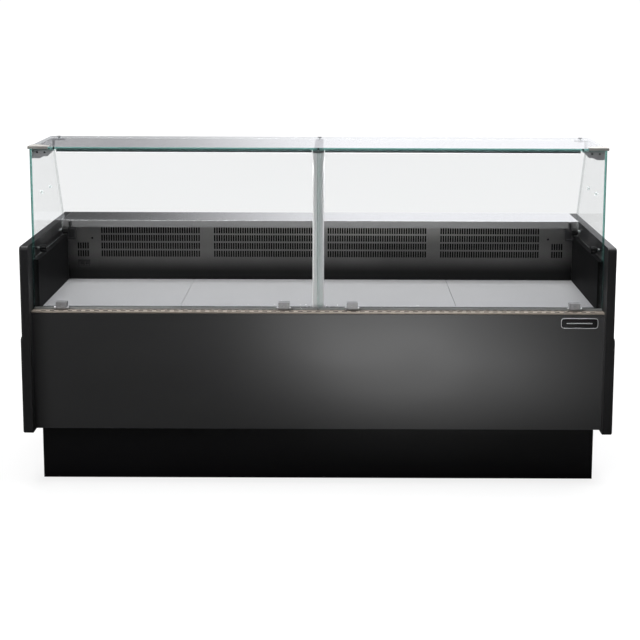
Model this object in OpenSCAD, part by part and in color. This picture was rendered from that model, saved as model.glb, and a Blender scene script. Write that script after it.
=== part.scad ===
// Refrigerated serve-over deli case: insulated body, display deck, straight glass, staff worktop.
// X runs along the case, Y runs from the customer's side to the staff side, Z is up, 0 is the floor.

/* [Overall] */
// Length of the case between its two end panels
case_w = 2000; // [1700:10:2500]
// Depth over the end panels
case_d = 790; // [740:5:950]
// Height to the top of the roof fittings
case_h = 1200; // [1120:5:1450]

/* [Levels] */
// Height of the kick plate and of the front panel's lower edge
plinth_h = 203; // [150:1:240]
// Height of the display deck and of the front rail
deck_h = 625; // [600:1:680]
// Height of the staff worktop
worktop_h = 859; // [840:1:900]

/* [End panels] */
// Thickness of an end panel over its skirt
end_t = 35; // [25:1:50]
// How far an end panel stands in front of the front panel
end_lead = 30; // [10:1:40]
// How far an end panel hangs below the front panel
end_drop = 10; // [0:1:20]
// How far an end panel stands above the worktop
end_rise = 1; // [1:1:10]
// Radius of its front top corner
end_top_r = 15; // [9:1:40]
// Radius of its other corners
end_low_r = 8; // [7:1:20]
// Rounding of its outer edge
end_edge_r = 6; // [3:1:7]
// Height of the skirt's upper edge
skirt_h = 540; // [400:5:640]
// How far the skirt stands proud of the upper part
skirt_t = 4; // [2:0.5:5]

/* [Front] */
// Thickness of the painted front sheet
panel_t = 1.5; // [1:0.1:3]
// Setback of the kick plate from the front panel
plinth_set = 58; // [40:1:90]
// Setback of the kick plate from the ends of the body
plinth_end = 15; // [5:1:60]
// Depth of the aluminium front rail
rail_d = 33; // [28:1:40]
// Length of one air slot in the front rail
rail_slot = 17; // [10:1:22]
// Width of one air slot in the front rail
rail_slot_w = 9; // [4:1:10]
// Spacing of the air slots
rail_pitch = 31; // [26:1:40]

/* [Glass] */
// Thickness of every pane
glass_t = 8; // [6:0.5:10]
// Depth of the glass roof
roof_d = 389; // [300:1:440]
// How far the roof stands past the ends of the body
roof_over = 4; // [0:1:15]
// Height of the roof's screw caps and corner covers
cap_t = 2; // [1:0.5:4]
// Clearance between the roof and the front panes
pane_top_gap = 2; // [1:0.5:5]
// Gap between the two front panes
pane_gap = 3; // [2:0.5:8]
// Lean of the side glass's rear edge over its height
side_lean = 167; // [100:1:200]
// Radius of the holes for an optional shelf's brackets
shelf_hole_r = 6; // [4:0.5:8]
// Distance between the two shelf bracket holes
shelf_pitch = 145; // [80:1:180]
// Height of the shelf bracket holes
shelf_h = 1017; // [960:1:1060]

/* [Front glass hinges] */
// Width of one hinge over its bracket
hinge_w = 50; // [40:1:80]
// Height of the clamp that grips the pane
clamp_h = 27; // [16:1:34]
// Radius of the hinge pin
hinge_pin_r = 2.5; // [2:0.1:3]
// Distance of the inner hinges from the middle of the case
hinge_in = 120; // [80:5:200]
// Distance of the outer hinges from the ends of the body
hinge_out = 100; // [60:5:200]

/* [Upright] */
// Width of the upright
upright_w = 40; // [30:1:60]
// Depth of the upright
upright_d = 25; // [20:1:40]

/* [Rear] */
// Depth of the staff worktop
worktop_d = 207; // [180:1:240]
// Height of the worktop's edge
worktop_t = 28; // [20:1:40]
// Distance from the duct panel to the back of the end panels
duct_back = 193; // [180:1:230]
// Slots in one row of a grille
grille_slots = 42; // [20:1:42]
// Spacing of the slots
grille_pitch = 9.2; // [9:0.1:10]
// Width of one slot
grille_slot_w = 6; // [3:0.5:7]
// Height of one slot
grille_slot_h = 24.6; // [15:0.1:26]
// Spacing of the rows of slots
grille_row = 30.8; // [28:0.1:32]

/* [Insulation] */
// Thickness of the insulated walls
wall_t = 40; // [30:1:45]
// Thickness of the floor below the deck
tub_floor_t = 45; // [40:1:55]
// Clear height below the deck for the evaporator
tub_clear = 147; // [140:1:160]
// Thickness of the storage compartment's floor
store_floor_t = 35; // [25:1:40]
// Thickness of a storage door
door_t = 37; // [30:1:39]
// Width of the machine compartment at the right-hand end
machine_w = 520; // [500:5:600]

/* [Fans] */
// Side of a square evaporator fan
fan_w = 120; // [110:1:122]
// Depth of an evaporator fan
fan_d = 38; // [30:1:45]
// Radius of the condenser fan's blades
condenser_fan_r = 84; // [70:1:86]

/* [Base] */
// Side of the frame's square tube
tube_w = 40; // [30:1:50]
// Wall of the frame's tube
tube_t = 2; // [1.5:0.5:4]
// Radius of a foot's pad
foot_r = 22; // [15:1:30]
// Radius of the drain's spigot
drain_r = 16; // [12:1:20]

/* [Clearances] */
// Radial clearance of every shaft and pin that turns
run_gap = 0.05; // [0.02:0.01:0.1]
// Gap round doors, deck plates and other loose panels
loose_gap = 1; // [0.5:0.1:3]
// Radial clearance of screws and studs in the glass
hole_gap = 2; // [0.5:0.1:3]

/* [Hidden] */
$fn = 40;

// Main planes
half_w = case_w / 2;
face_y = end_lead - case_d / 2;
back_y = case_d / 2;
body_z = plinth_h + 2;
roof_top = case_h - cap_t;
roof_low = roof_top - glass_t;

// Front rail, panes and their hinge axis
rail_t = 3;
seam = 2;
rail_low = deck_h - 21;
pane_y = face_y + rail_d + 1;
pane_back = pane_y + glass_t;
pane_low = deck_h + 3;
pane_top = roof_low - pane_top_gap;
axis_y = pane_y - 6;
axis_z = deck_h + 7;
hinge_xs = [hinge_in, half_w - hinge_out];
side_y = pane_back + 1;

// Deck, air return and duct
return_y = side_y + 1;
deck_y = return_y + 47;
duct_y = back_y - duct_back;
sheet_t = 1.5;
deck_end = duct_y - 2;
bay_w = (case_w - 40) / 4;
inner_w = half_w - 20;
bar_h = 15;
flange_t = 2;
ledge_z = deck_h - 8 - bar_h;
tub_z = ledge_z + 2 - flange_t - tub_clear + 15;
tub_low = tub_z - tub_floor_t;
tub_back_y = duct_y + 43;
store_y = face_y + 2 + wall_t;

// Rear skins and doors
skin_y = back_y - 15;
frame_y = skin_y - 40;
door_y = skin_y - door_t;
beam_z = tub_low + 15;
door_top = tub_low + 7;
door_low = body_z + 3;
machine_x = half_w - machine_w;
part_x = machine_x - 40;
door_w = (machine_x - 20 + half_w) / 2;
door_axis_y = skin_y - 7;
door_axis_in = 12;
door_pin_r = 3;

// Side glass and its knobs
liner_top = worktop_h - 59;
side_foot = worktop_h + 3;
side_back = duct_y + 7;
knob_r = 13.5;
knob_stud_r = 4;
knob_z = worktop_h - 34;
knob_front_y = side_y + 87;
knob_rear_y = duct_y - 47;

// Cold side
fan_x = case_w * 0.24;
fan_z = tub_z + fan_w / 2 + 3;
fan_plate_y = duct_y - 127;
fan_shaft_r = 2.5;

// Condensing unit, placed from the machine compartment's inner corner
unit_x = machine_x + 180;
unit_z = body_z + 3;
coil_y = skin_y - 105;
condenser_fan_y = coil_y - 34;
condenser_fan_z = unit_z + 104;
motor_shaft_r = 3;

// Control panel on the staff side
control_x = half_w - 480;
control_w = 230;
control_h = 62;
control_z = worktop_h - worktop_t - 18 - control_h;
switch_x = control_x + 30;
switch_z = control_z + control_h / 2;
switch_w = 14;
switch_r = 11;

// A bar along X whose section is drawn as Y across and Z up
module along_x(x0, x1) {
    translate([x0, 0, 0]) rotate([90, 0, 90]) linear_extrude(x1 - x0) children();
}

// A bar along Y whose section is drawn as X across and Z up
module along_y(y0, y1) {
    translate([0, y1, 0]) rotate([90, 0, 0]) linear_extrude(y1 - y0) children();
}

// A block between two corners
module block(low, high) {
    translate(low) cube(high - low);
}

// Round bars along each axis, from one coordinate to the other
module rod_x(x0, x1, y, z, r) {
    translate([x0, y, z]) rotate([0, 90, 0]) cylinder(r = r, h = x1 - x0);
}

module rod_y(y0, y1, x, z, r) {
    translate([x, y1, z]) rotate([90, 0, 0]) cylinder(r = r, h = y1 - y0);
}

module rod_z(z0, z1, x, y, r) {
    translate([x, y, z0]) cylinder(r = r, h = z1 - z0);
}

module both_ends() {
    children();
    mirror([1, 0, 0]) children();
}

// A rectangle with four round corners
module round_rect(x0, y0, x1, y1, r) {
    translate([x0 + r, y0]) square([x1 - x0 - 2 * r, y1 - y0]);
    translate([x0, y0 + r]) square([x1 - x0, y1 - y0 - 2 * r]);
    for (x = [x0 + r, x1 - r], y = [y0 + r, y1 - r])
        translate([x, y]) circle(r);
}

// ---- Base ----

module base_frame() {
    low = body_z - tube_w;
    front = face_y + plinth_set + 32;
    rear = frame_y - 25 - tube_w;
    far = half_w - plinth_end - 25;
    color("dimgray") difference() {
        union() {
            for (y = [front, rear])
                block([-far, y, low], [far, y + tube_w, body_z]);
            for (x = foot_xs())
                block([x - tube_w / 2, front + 1, low], [x + tube_w / 2, rear + 1, body_z]);
        }
        for (y = [front, rear])
            block([-far - 1, y + tube_t, low + tube_t],
                [far + 1, y + tube_w - tube_t, body_z - tube_t]);
        for (x = foot_xs()) {
            block([x - tube_w / 2 + tube_t, front + tube_w, low + tube_t],
                [x + tube_w / 2 - tube_t, rear, body_z - tube_t]);
            for (y = [front, rear])
                rod_z(low - 1, low + tube_t + 1, x, y + tube_w / 2, foot_stem_r() + 0.5);
        }
    }
}

function foot_xs() = [-(half_w - 100), 0, half_w - 100];
function foot_stem_r() = 6;

module levelling_feet() {
    low = body_z - tube_w;
    front = face_y + plinth_set + 32 + tube_w / 2;
    rear = frame_y - 25 - tube_w / 2;
    color("silver") for (x = foot_xs(), y = [front, rear])
        translate([x, y, 0]) {
            cylinder(r = foot_r, h = 6);
            translate([0, 0, 5.99]) cylinder(r1 = foot_r, r2 = 11, h = 8);
            cylinder(r = foot_stem_r(), h = low + 26);
            translate([0, 0, low - 9]) cylinder(r = 11, h = 9, $fn = 6);
        }
}

module plinth() {
    front = face_y + plinth_set;
    far = half_w - plinth_end;
    color("#101010") difference() {
        block([-far, front, 2], [far, frame_y - 5, plinth_h]);
        block([-far + 2, front + 2, 0], [far - 2, frame_y, plinth_h + 1]);
    }
}

// ---- Body ----

module lower_carcass() {
    front = face_y + 2;
    color("gainsboro") difference() {
        union() {
            block([-half_w, front, body_z], [half_w, frame_y, tub_low]);
            block([-half_w, tub_back_y + wall_t + 2, tub_low - 1], [half_w, frame_y, beam_z]);
        }
        carcass_hollow(-half_w + wall_t, part_x, body_z + store_floor_t);
        carcass_hollow(machine_x, half_w - wall_t, unit_z);
        rod_z(body_z - 1, unit_z + 1, drain_x(), drain_y(), drain_r + 4);
        for (i = [0 : 5])
            block([unit_x - 120 + i * 36, coil_y - 170, body_z - 1],
                [unit_x - 102 + i * 36, coil_y - 60, unit_z + 1]);
    }
}

// One compartment of the lower body, open to the staff side
module carcass_hollow(x0, x1, floor_z) {
    block([x0, store_y, floor_z], [x1, tub_back_y + wall_t + 2.5, tub_low + 1]);
    block([x0, tub_back_y + wall_t, floor_z], [x1, frame_y + 1, tub_low - 2]);
}

function drain_x() = machine_x + 45;
function drain_y() = store_y + 115;

module front_panel() {
    top = deck_h - 5 - seam;
    color("#3a3b3d") along_x(-half_w, half_w) polygon([
        [face_y, plinth_h], [face_y + 30, plinth_h], [face_y + 30, plinth_h + panel_t],
        [face_y + panel_t, plinth_h + panel_t], [face_y + panel_t, top - panel_t],
        [face_y + 5, top - panel_t], [face_y + 5, top], [face_y, top]
    ]);
}

// The outline of an end panel seen from the side, shrunk all round by inset
module end_outline(inset, low, high) {
    y0 = -case_d / 2 + inset;
    y1 = case_d / 2 - inset;
    z0 = low + inset;
    z1 = high - inset;
    top_r = max(end_top_r - inset, 1);
    low_r = max(end_low_r - inset, 1);
    translate([y0 + top_r, z1 - top_r]) circle(top_r);
    translate([y1 - low_r, z1 - low_r]) circle(low_r);
    translate([y0 + low_r, z0 + low_r]) circle(low_r);
    translate([y1 - low_r, z0 + low_r]) circle(low_r);
}

// A panel whose outer edge is rounded: x0 is its inner face and x1 its outer one
module edged_panel(x0, x1, low, high) {
    hull() {
        along_x(x0, x1 - end_edge_r) end_outline(0, low, high);
        for (a = [30, 60, 90])
            along_x(x1 - end_edge_r, x1 - end_edge_r * (1 - sin(a)))
                end_outline(end_edge_r * (1 - cos(a)), low, high);
    }
}

module end_panel() {
    color("#1b1b1c") difference() {
        union() {
            edged_panel(half_w, half_w + end_t - skirt_t, plinth_h - end_drop, worktop_h + end_rise);
            edged_panel(half_w, half_w + end_t, plinth_h - end_drop, skirt_h);
        }
        for (y = [knob_front_y, knob_rear_y])
            rod_x(half_w - 1, half_w + 16, y, knob_z, knob_stud_r + run_gap);
    }
}

module end_panel_left() {
    mirror([1, 0, 0]) end_panel();
}

module end_panel_right() {
    end_panel();
}

// Black inner cheeks between the deck and the foot of the side glass
module side_liners() {
    low = tub_front_top();
    color("#161616") both_ends() along_x(inner_w, half_w) polygon([
        [return_y, low], [duct_y - 0.5, low], [duct_y - 0.5, liner_top], [return_y, liner_top]
    ]);
}

function tub_front_top() = rail_low - 4;

module front_rail() {
    color("#b8a98f") difference() {
        along_x(-half_w, half_w) difference() {
            union() {
                translate([face_y, deck_h - rail_t]) square([rail_d, rail_t]);
                translate([face_y, deck_h - 5]) square([2, 5]);
                translate([face_y + 6, rail_low]) square([rail_d - 6, deck_h - rail_low - 1]);
            }
            translate([face_y + 8, rail_low + 2])
                square([rail_d - 11, deck_h - rail_t - rail_low - 2]);
        }
        count = floor((case_w - 30) / rail_pitch);
        for (i = [0 : count - 1])
            translate([(i - (count - 1) / 2) * rail_pitch, face_y + 13.5, deck_h - rail_t / 2])
                cube([rail_slot, rail_slot_w, rail_t + 2], center = true);
    }
}

// Black slotted strip behind the panes that takes the air back under the deck
module air_return_grille() {
    top = deck_h - 4;
    foot = tub_front_top();
    color("#202020") difference() {
        along_x(-inner_w, inner_w) polygon([
            [pane_y + 1, foot], [return_y + 2, foot], [return_y + 2, top - flange_t],
            [deck_y - 2, top - flange_t], [deck_y - 2, ledge_z - flange_t],
            [deck_y + 14, ledge_z - flange_t], [deck_y + 14, ledge_z], [deck_y, ledge_z],
            [deck_y, top], [return_y, top], [return_y, foot + flange_t],
            [pane_y + 1, foot + flange_t]
        ]);
        count = floor((case_w - 100) / 24);
        for (i = [0 : count - 1])
            translate([(i - (count - 1) / 2) * 24, (return_y + deck_y) / 2, top - 1])
                cube([14, 34, 4], center = true);
    }
}

// Foamed tub under the deck, with the rear wall that stands behind the duct
module insulated_tub() {
    front = face_y + 2;
    back = tub_back_y + wall_t;
    top = worktop_h - worktop_t;
    color("whitesmoke") difference() {
        along_x(-half_w, half_w) polygon([
            [front, tub_low], [back, tub_low], [back, top], [duct_y + 3, top],
            [duct_y + 3, tub_front_top()], [front, tub_front_top()]
        ]);
        along_x(-inner_w, inner_w) polygon([
            [store_y, tub_z], [tub_back_y, tub_z], [tub_back_y, top + 1], [store_y, top + 1]
        ]);
        rod_z(tub_low - 1, tub_z + 1, drain_x(), drain_y(), drain_r - 1.5);
    }
}

// ---- Rear duct and worktop ----

// Slotted sheet of one half of the rear wall, drawn for the right-hand half
module duct_half() {
    low = ledge_z - flange_t;
    top = worktop_h - worktop_t;
    span = (grille_slots - 1) * grille_pitch;
    bay = inner_w / 2;
    color("#8d8f91") {
        along_y(duct_y, duct_y + sheet_t) difference() {
            translate([0.5, low]) square([inner_w - 0.5, top - low]);
            for (side = [-1, 1], i = [0 : grille_slots - 1], row = [0 : 3])
                translate([
                    bay - 50 + side * 219 - span / 2 + i * grille_pitch - grille_slot_w / 2,
                    top - 1 - grille_slot_h - row * grille_row
                ]) square([grille_slot_w, grille_slot_h]);
            for (i = [0 : 4], row = [2 : 3])
                translate([
                    inner_w - 80 + i * grille_pitch,
                    top - 1 - grille_slot_h - row * grille_row
                ]) square([grille_slot_w, grille_slot_h]);
            translate([inner_w - 94, top - 45]) circle(4);
            children();
        }
        along_x(0.5, inner_w) translate([duct_y - 14, low]) square([14.5, flange_t]);
    }
}

module duct_panel_left() {
    mirror([1, 0, 0]) duct_half() translate([probe_x0() + 2, probe_z() + 2])
        square([probe_w() - 4, probe_h() - 4]);
}

module duct_panel_right() {
    duct_half();
}

function probe_x0() = inner_w - 85;
function probe_w() = 47;
function probe_h() = 28;
function probe_z() = deck_h + 48;

// Flush box with two blind windows, behind the slots on the left
module probe_box() {
    x0 = -probe_x0() - probe_w();
    z0 = probe_z();
    color("#0e0e0e") difference() {
        union() {
            block([x0, duct_y - 1, z0], [x0 + probe_w(), duct_y, z0 + probe_h()]);
            block([x0 + 2.2, duct_y - 0.5, z0 + 2.2],
                [x0 + probe_w() - 2.2, duct_y + 18, z0 + probe_h() - 2.2]);
        }
        for (x = [x0 + 6, x0 + 26])
            block([x, duct_y - 2, z0 + 7], [x + 15, duct_y + 6, z0 + 21]);
    }
}

// Black blocks in the rear corners, each with a locating pin standing on it
module corner_blocks() {
    top = worktop_h - worktop_t - 3;
    color("#141414") both_ends() {
        difference() {
            block([inner_w - 34, duct_y - 27, top - 43], [inner_w, duct_y - 0.5, top]);
            block([inner_w - 28, duct_y - 28, top - 37], [inner_w - 6, duct_y - 21, top - 6]);
        }
        rod_z(top - 1, top + 24, inner_w - 14, duct_y - 21, 4);
        rod_z(top + 12, top + 27, inner_w - 14, duct_y - 21, 6);
    }
}

module worktop() {
    y0 = back_y - worktop_d;
    low = worktop_h - worktop_t;
    t = sheet_t;
    color("silver") along_x(-half_w, half_w) polygon([
        [y0, low], [y0 + 18, low], [y0 + 18, low + t], [y0 + t, low + t],
        [y0 + t, worktop_h - t], [back_y - t, worktop_h - t], [back_y - t, low + t],
        [back_y - 18, low + t], [back_y - 18, low], [back_y, low],
        [back_y, worktop_h], [y0, worktop_h]
    ]);
}

module rear_panel() {
    top = worktop_h - worktop_t;
    far = half_w - 2;
    color("#9a9c9e") difference() {
        along_x(-far, far) polygon([
            [frame_y + 1, beam_z], [skin_y, beam_z], [skin_y, top - 1], [frame_y - 20, top - 1],
            [frame_y - 20, top - 1 - sheet_t], [skin_y - sheet_t, top - 1 - sheet_t],
            [skin_y - sheet_t, beam_z + sheet_t], [frame_y + 1, beam_z + sheet_t]
        ]);
        block([control_x + 4, skin_y - 5, control_z + 4],
            [control_x + control_w - 4, skin_y + 1, control_z + control_h - 4]);
    }
}

// Bezel of the thermostat and the light switch, with its box behind the skin
module control_panel() {
    y1 = skin_y + 4;
    color("#222324") difference() {
        union() {
            along_y(skin_y, y1)
                round_rect(control_x, control_z, control_x + control_w, control_z + control_h, 4);
            block([control_x + 4.5, skin_y - 46, control_z + 4.5],
                [control_x + control_w - 4.5, skin_y + 1, control_z + control_h - 4.5]);
        }
        block([control_x + 70, y1 - 1.2, control_z + 14],
            [control_x + 150, y1 + 1, control_z + control_h - 14]);
        for (i = [0 : 3])
            rod_y(y1 - 1, y1 + 1, control_x + 164 + i * 16, switch_z, 5);
        block([switch_x - switch_w / 2 - 0.4, skin_y - 12, switch_z - switch_r - 0.4],
            [switch_x + switch_w / 2 + 0.4, y1 + 1, switch_z + switch_r + 0.4]);
        rod_x(switch_x - switch_w / 2 - 3, switch_x + switch_w / 2 + 3, skin_y - 0.5, switch_z,
            1.5 + run_gap);
    }
}

// Rocker of the light switch, drawn pressed in at its lower end
module light_switch() {
    y0 = skin_y - 0.5;
    color("#2b2b2b") intersection() {
        translate([switch_x, y0, switch_z]) rotate([-10, 0, 0]) {
            difference() {
                rotate([0, 90, 0]) cylinder(r = switch_r, h = switch_w, center = true);
                for (side = [-1, 1])
                    rotate([side * 10, 0, 0]) translate([0, switch_r + 4, side * 10])
                        cube([switch_w + 1, switch_r * 2 - 8, 20.2], center = true);
                translate([0, -switch_r, 0]) cube([switch_w + 1, switch_r, 30], center = true);
            }
            rotate([0, 90, 0]) cylinder(r = 1.5, h = switch_w + 5, center = true);
        }
        block([switch_x - 20, y0 - 12, switch_z - 20], [switch_x + 20, y0 + 12, switch_z + 20]);
    }
}

// ---- Glass ----

module top_glass() {
    far = half_w + roof_over;
    color("lightcyan", 0.5) difference() {
        block([-far, face_y + rail_d, roof_low], [far, face_y + rail_d + roof_d, roof_top]);
        for (x = roof_screw_xs())
            rod_z(roof_low - 1, roof_top + 1, x, roof_screw_y(), 4.5);
    }
}

function roof_screw_xs() = [-(half_w - 30), 0, half_w - 30];
function roof_screw_y() = face_y + rail_d + roof_d - 17;

module side_glass() {
    top_back = side_back - side_lean;
    color("lightcyan", 0.4) difference() {
        along_x(half_w - glass_t, half_w) polygon([
            [side_y, liner_top], [back_y - worktop_d - 4, liner_top],
            [back_y - worktop_d - 4, side_foot], [side_back, side_foot],
            [top_back, roof_low], [side_y, roof_low]
        ]);
        for (y = [knob_front_y, knob_rear_y])
            rod_x(half_w - glass_t - 1, half_w + 1, y, knob_z, knob_stud_r + hole_gap);
        for (y = shelf_ys())
            rod_x(half_w - glass_t - 1, half_w + 1, y, shelf_h, shelf_hole_r);
    }
}

function shelf_ys() = [side_y + 160, side_y + 160 + shelf_pitch];

module side_glass_left() {
    mirror([1, 0, 0]) side_glass();
}

module side_glass_right() {
    side_glass();
}

// Cast brackets that join the roof to the side glass, front and rear
module roof_connectors() {
    outer = half_w - glass_t;
    y0 = side_y + 2;
    color("#c9cacc") both_ends() {
        difference() {
            union() {
                along_y(y0, y0 + 4) polygon([
                    [outer, roof_low], [outer, roof_low - 33], [outer - 27, roof_low - 33],
                    [outer - 41, roof_low - 26], [outer - 54, roof_low - 26],
                    [outer - 75, roof_low - 6], [outer - 77, roof_low]
                ]);
                translate([0, 0, roof_low - 6]) linear_extrude(6) polygon([
                    [outer, y0], [outer - 78, y0], [outer - 62, y0 + 14],
                    [outer - 24, y0 + 62], [outer, y0 + 78]
                ]);
                along_x(outer - 6, outer) polygon([
                    [y0, roof_low], [y0, roof_low - 33], [y0 + 22, roof_low - 31],
                    [y0 + 66, roof_low - 12], [y0 + 78, roof_low]
                ]);
            }
            rod_z(roof_low - 7, roof_low + 1, outer - 26, y0 + 26, 5);
            rod_x(outer - 7, outer + 1, y0 + 30, roof_low - 16, 5);
            for (x = [outer - 18, outer - 44])
                rod_y(y0 - 1, y0 + 5, x, roof_low - 12, 3.5);
        }
        difference() {
            union() {
                block([outer - 44, roof_screw_y() - 12, roof_low - 5],
                    [outer, roof_screw_y() + 6, roof_low]);
                block([outer - 5, roof_screw_y() - 12, roof_low - 30],
                    [outer, roof_screw_y() + 6, roof_low]);
            }
            rod_z(roof_low - 6, roof_low + 1, half_w - 30, roof_screw_y(), 3.2);
        }
    }
}

// Thin plates over the roof's front corners, each lipped over the glass edge
module corner_covers() {
    far = half_w + roof_over;
    y0 = face_y + rail_d;
    color("#c4c2bf") both_ends() difference() {
        union() {
            translate([0, 0, roof_top]) linear_extrude(cap_t) difference() {
                translate([far - 70, y0 - 1.5]) square([70, 64]);
                polygon([[far - 71, y0 + 22], [far - 28, y0 + 63], [far - 71, y0 + 63]]);
            }
            block([far - 70, y0 - 1.5, roof_low + 1], [far, y0, roof_top + 1]);
        }
        rod_z(roof_top - 1, case_h + 1, far - 24, y0 + 24, 3);
    }
}

// Aluminium post with a groove down its customer's side
module upright() {
    y0 = side_y + 3;
    c = 4;
    w = upright_w / 2;
    color("#b4b5b6") translate([0, 0, post_low()]) linear_extrude(roof_low - 12 - post_low())
        difference() {
            polygon([
                [-w, y0 + c], [-w + c, y0], [-3, y0], [-2, y0 + 3], [2, y0 + 3], [3, y0],
                [w - c, y0], [w, y0 + c], [w, y0 + upright_d], [-w, y0 + upright_d]
            ]);
            translate([-w + 3, y0 + 6]) square([upright_w - 6, upright_d - 9]);
        }
}

function post_low() = deck_h + 2;

// Foot plate of the upright and the arm that carries the roof
module upright_brackets() {
    y0 = side_y + 3;
    w = upright_w / 2;
    color("#8f9091") {
        difference() {
            block([-42, return_y + 1, deck_h - 4], [42, deck_y - 3, post_low()]);
            for (x = [-32, 32])
                rod_z(deck_h - 5, post_low() + 1, x, (return_y + deck_y) / 2, 3.5);
        }
        difference() {
            union() {
                block([-w, y0, roof_low - 12], [w, y0 + upright_d + 6, roof_low]);
                block([-w + 5, y0 + 10, roof_low - 12], [w - 5, roof_screw_y() + 10, roof_low]);
            }
            rod_z(roof_low - 11, roof_low + 1, 0, roof_screw_y(), 3.2);
        }
    }
}

// Channels under the roof's front edge, and the diffusers snapped into them
module led_profiles() {
    y0 = side_y + 4;
    color("#6f7072") both_ends() along_x(upright_w / 2 + 3, half_w - 92) difference() {
        translate([y0, roof_low - 10]) square([20, 10]);
        translate([y0 + 2, roof_low - 11]) square([16, 9]);
    }
}

module led_diffusers() {
    y0 = side_y + 4;
    color("white") both_ends() along_x(upright_w / 2 + 4, half_w - 93) {
        translate([y0 + 2, roof_low - 10]) square([16, 2]);
        translate([y0 + 4, roof_low - 12]) square([12, 2.5]);
    }
}

module roof_screws() {
    color("#2a2a2a") for (x = roof_screw_xs()) {
        rod_z(roof_top, case_h, x, roof_screw_y(), 8);
        rod_z(roof_low - 5, roof_top + 0.5, x, roof_screw_y(), 3.2);
    }
}

// ---- Front panes ----

// One pane, drawn for the right-hand side
module pane() {
    color("lightcyan", 0.35)
        block([pane_gap / 2, pane_y, pane_low], [half_w - 2, pane_back, pane_top]);
}

module front_glass_left() {
    mirror([1, 0, 0]) pane();
}

module front_glass_right() {
    pane();
}

// The two clamps of one pane, turning on the brackets' pins
module pane_clamps() {
    half = hinge_w / 2 - 5.5;
    back = pane_back + 6;
    color("#9fa1a3") for (x = hinge_xs) difference() {
        union() {
            rod_x(x - half, x + half, axis_y, axis_z, 6);
            block([x - half, axis_y - 6, axis_z], [x + half, back, deck_h + 1 + clamp_h]);
            block([x - half, axis_y, deck_h + 1], [x + half, back, axis_z + 1]);
        }
        block([x - half - 1, pane_y, pane_low], [x + half + 1, pane_back, deck_h + 2 + clamp_h]);
        rod_x(x - half - 1, x + half + 1, axis_y, axis_z, hinge_pin_r + run_gap);
        rod_y(axis_y - 7, pane_y + 1, x, axis_z + 8, 2);
    }
}

module glass_clamps_left() {
    mirror([1, 0, 0]) pane_clamps();
}

module glass_clamps_right() {
    pane_clamps();
}

// Ears on the front rail, with the pins that carry the clamps
module glass_hinge_brackets() {
    half = hinge_w / 2;
    color("#a9abad") both_ends() for (x = hinge_xs) {
        for (x0 = [x - half, x + half - 5]) {
            block([x0, axis_y - 5.5, deck_h], [x0 + 5, axis_y + 5.5, axis_z]);
            rod_x(x0, x0 + 5, axis_y, axis_z, 5.5);
        }
        rod_x(x - half + 1, x + half - 1, axis_y, axis_z, hinge_pin_r);
    }
}

// ---- Deck ----

module deck_supports() {
    color("silver") for (i = [-2 : 2]) {
        x = i * bay_w - sign(i) * (abs(i) == 2 ? 15 : 0);
        block([x - 14, deck_y + 1, ledge_z], [x + 14, duct_y - 0.5, ledge_z + bar_h]);
    }
}

// A display plate: a shallow tray turned over, its edges folded down
module deck_plate(i) {
    x0 = (i - 3) * bay_w + loose_gap / 2;
    x1 = (i - 2) * bay_w - loose_gap / 2;
    y0 = deck_y + 1;
    low = ledge_z + bar_h;
    color("gainsboro") difference() {
        block([x0, y0, low], [x1, deck_end, deck_h]);
        block([x0 + sheet_t, y0 + sheet_t, low - 1],
            [x1 - sheet_t, deck_end - sheet_t, deck_h - sheet_t]);
    }
}

// ---- Cold side ----

module evaporator_coil() {
    far = half_w - 260;
    z0 = tub_z + 12;
    color("#b9bbbd") {
        y0 = deck_y + 70;
        for (i = [0 : 36])
            block([-far + i * far / 18, y0, z0], [-far + i * far / 18 + 1, y0 + 150, z0 + 96]);
        for (row = [0 : 1], column = [0 : 2])
            rod_x(-far - 12, far + 13, y0 + 25 + column * 50, z0 + 24 + row * 48, 5);
        for (x = [-far - 12, far + 12], column = [0 : 2])
            rod_z(z0 + 23, z0 + 73, x, y0 + 25 + column * 50, 5.6);
        for (x = [-far + 60, far - 105], y = [y0 + 5, y0 + 140])
            block([x, y, tub_z], [x + 45, y + 5, z0 + 1]);
    }
}

module fan_plate() {
    color("silver") difference() {
        block([-inner_w + 1, fan_plate_y, tub_z], [inner_w - 1, fan_plate_y + 2, ledge_z - 3]);
        for (x = [-fan_x, fan_x])
            rod_y(fan_plate_y - 1, fan_plate_y + 3, x, fan_z, fan_w / 2 - 3);
    }
}

// Square housings with a hub on three struts
module fan_frames() {
    y0 = fan_plate_y + 2;
    w = fan_w / 2;
    color("#1d1d1d") for (x = [-fan_x, fan_x]) difference() {
        union() {
            difference() {
                block([x - w, y0, fan_z - w], [x + w, y0 + fan_d, fan_z + w]);
                rod_y(y0 - 1, y0 + fan_d + 1, x, fan_z, w - 3);
            }
            rod_y(y0 + fan_d - 9, y0 + fan_d, x, fan_z, 27);
            for (a = [90, 210, 330])
                translate([x, 0, fan_z]) rotate([0, a, 0])
                    block([0, y0 + fan_d - 5, -2], [w - 2, y0 + fan_d, 2]);
        }
        rod_y(y0 + fan_d - 10, y0 + fan_d + 1, x, fan_z, fan_shaft_r + run_gap);
        for (sx = [-1, 1], sz = [-1, 1])
            rod_y(y0 - 1, y0 + fan_d + 1, x + sx * (w - 7), fan_z + sz * (w - 7), 2.2);
    }
}

// Blades and hub that turn about a Y axis through the origin
module fan_rotor(r, hub_r, depth, blades) {
    intersection() {
        rod_y(0, depth, 0, 0, r);
        union() {
            rod_y(0, depth, 0, 0, hub_r);
            for (i = [0 : blades - 1])
                rotate([0, i * 360 / blades, 0]) translate([hub_r - 2, depth / 2, 0])
                    rotate([38, 0, 0]) translate([0, -1, -depth])
                        cube([r, 2, 2 * depth]);
        }
    }
}

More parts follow.
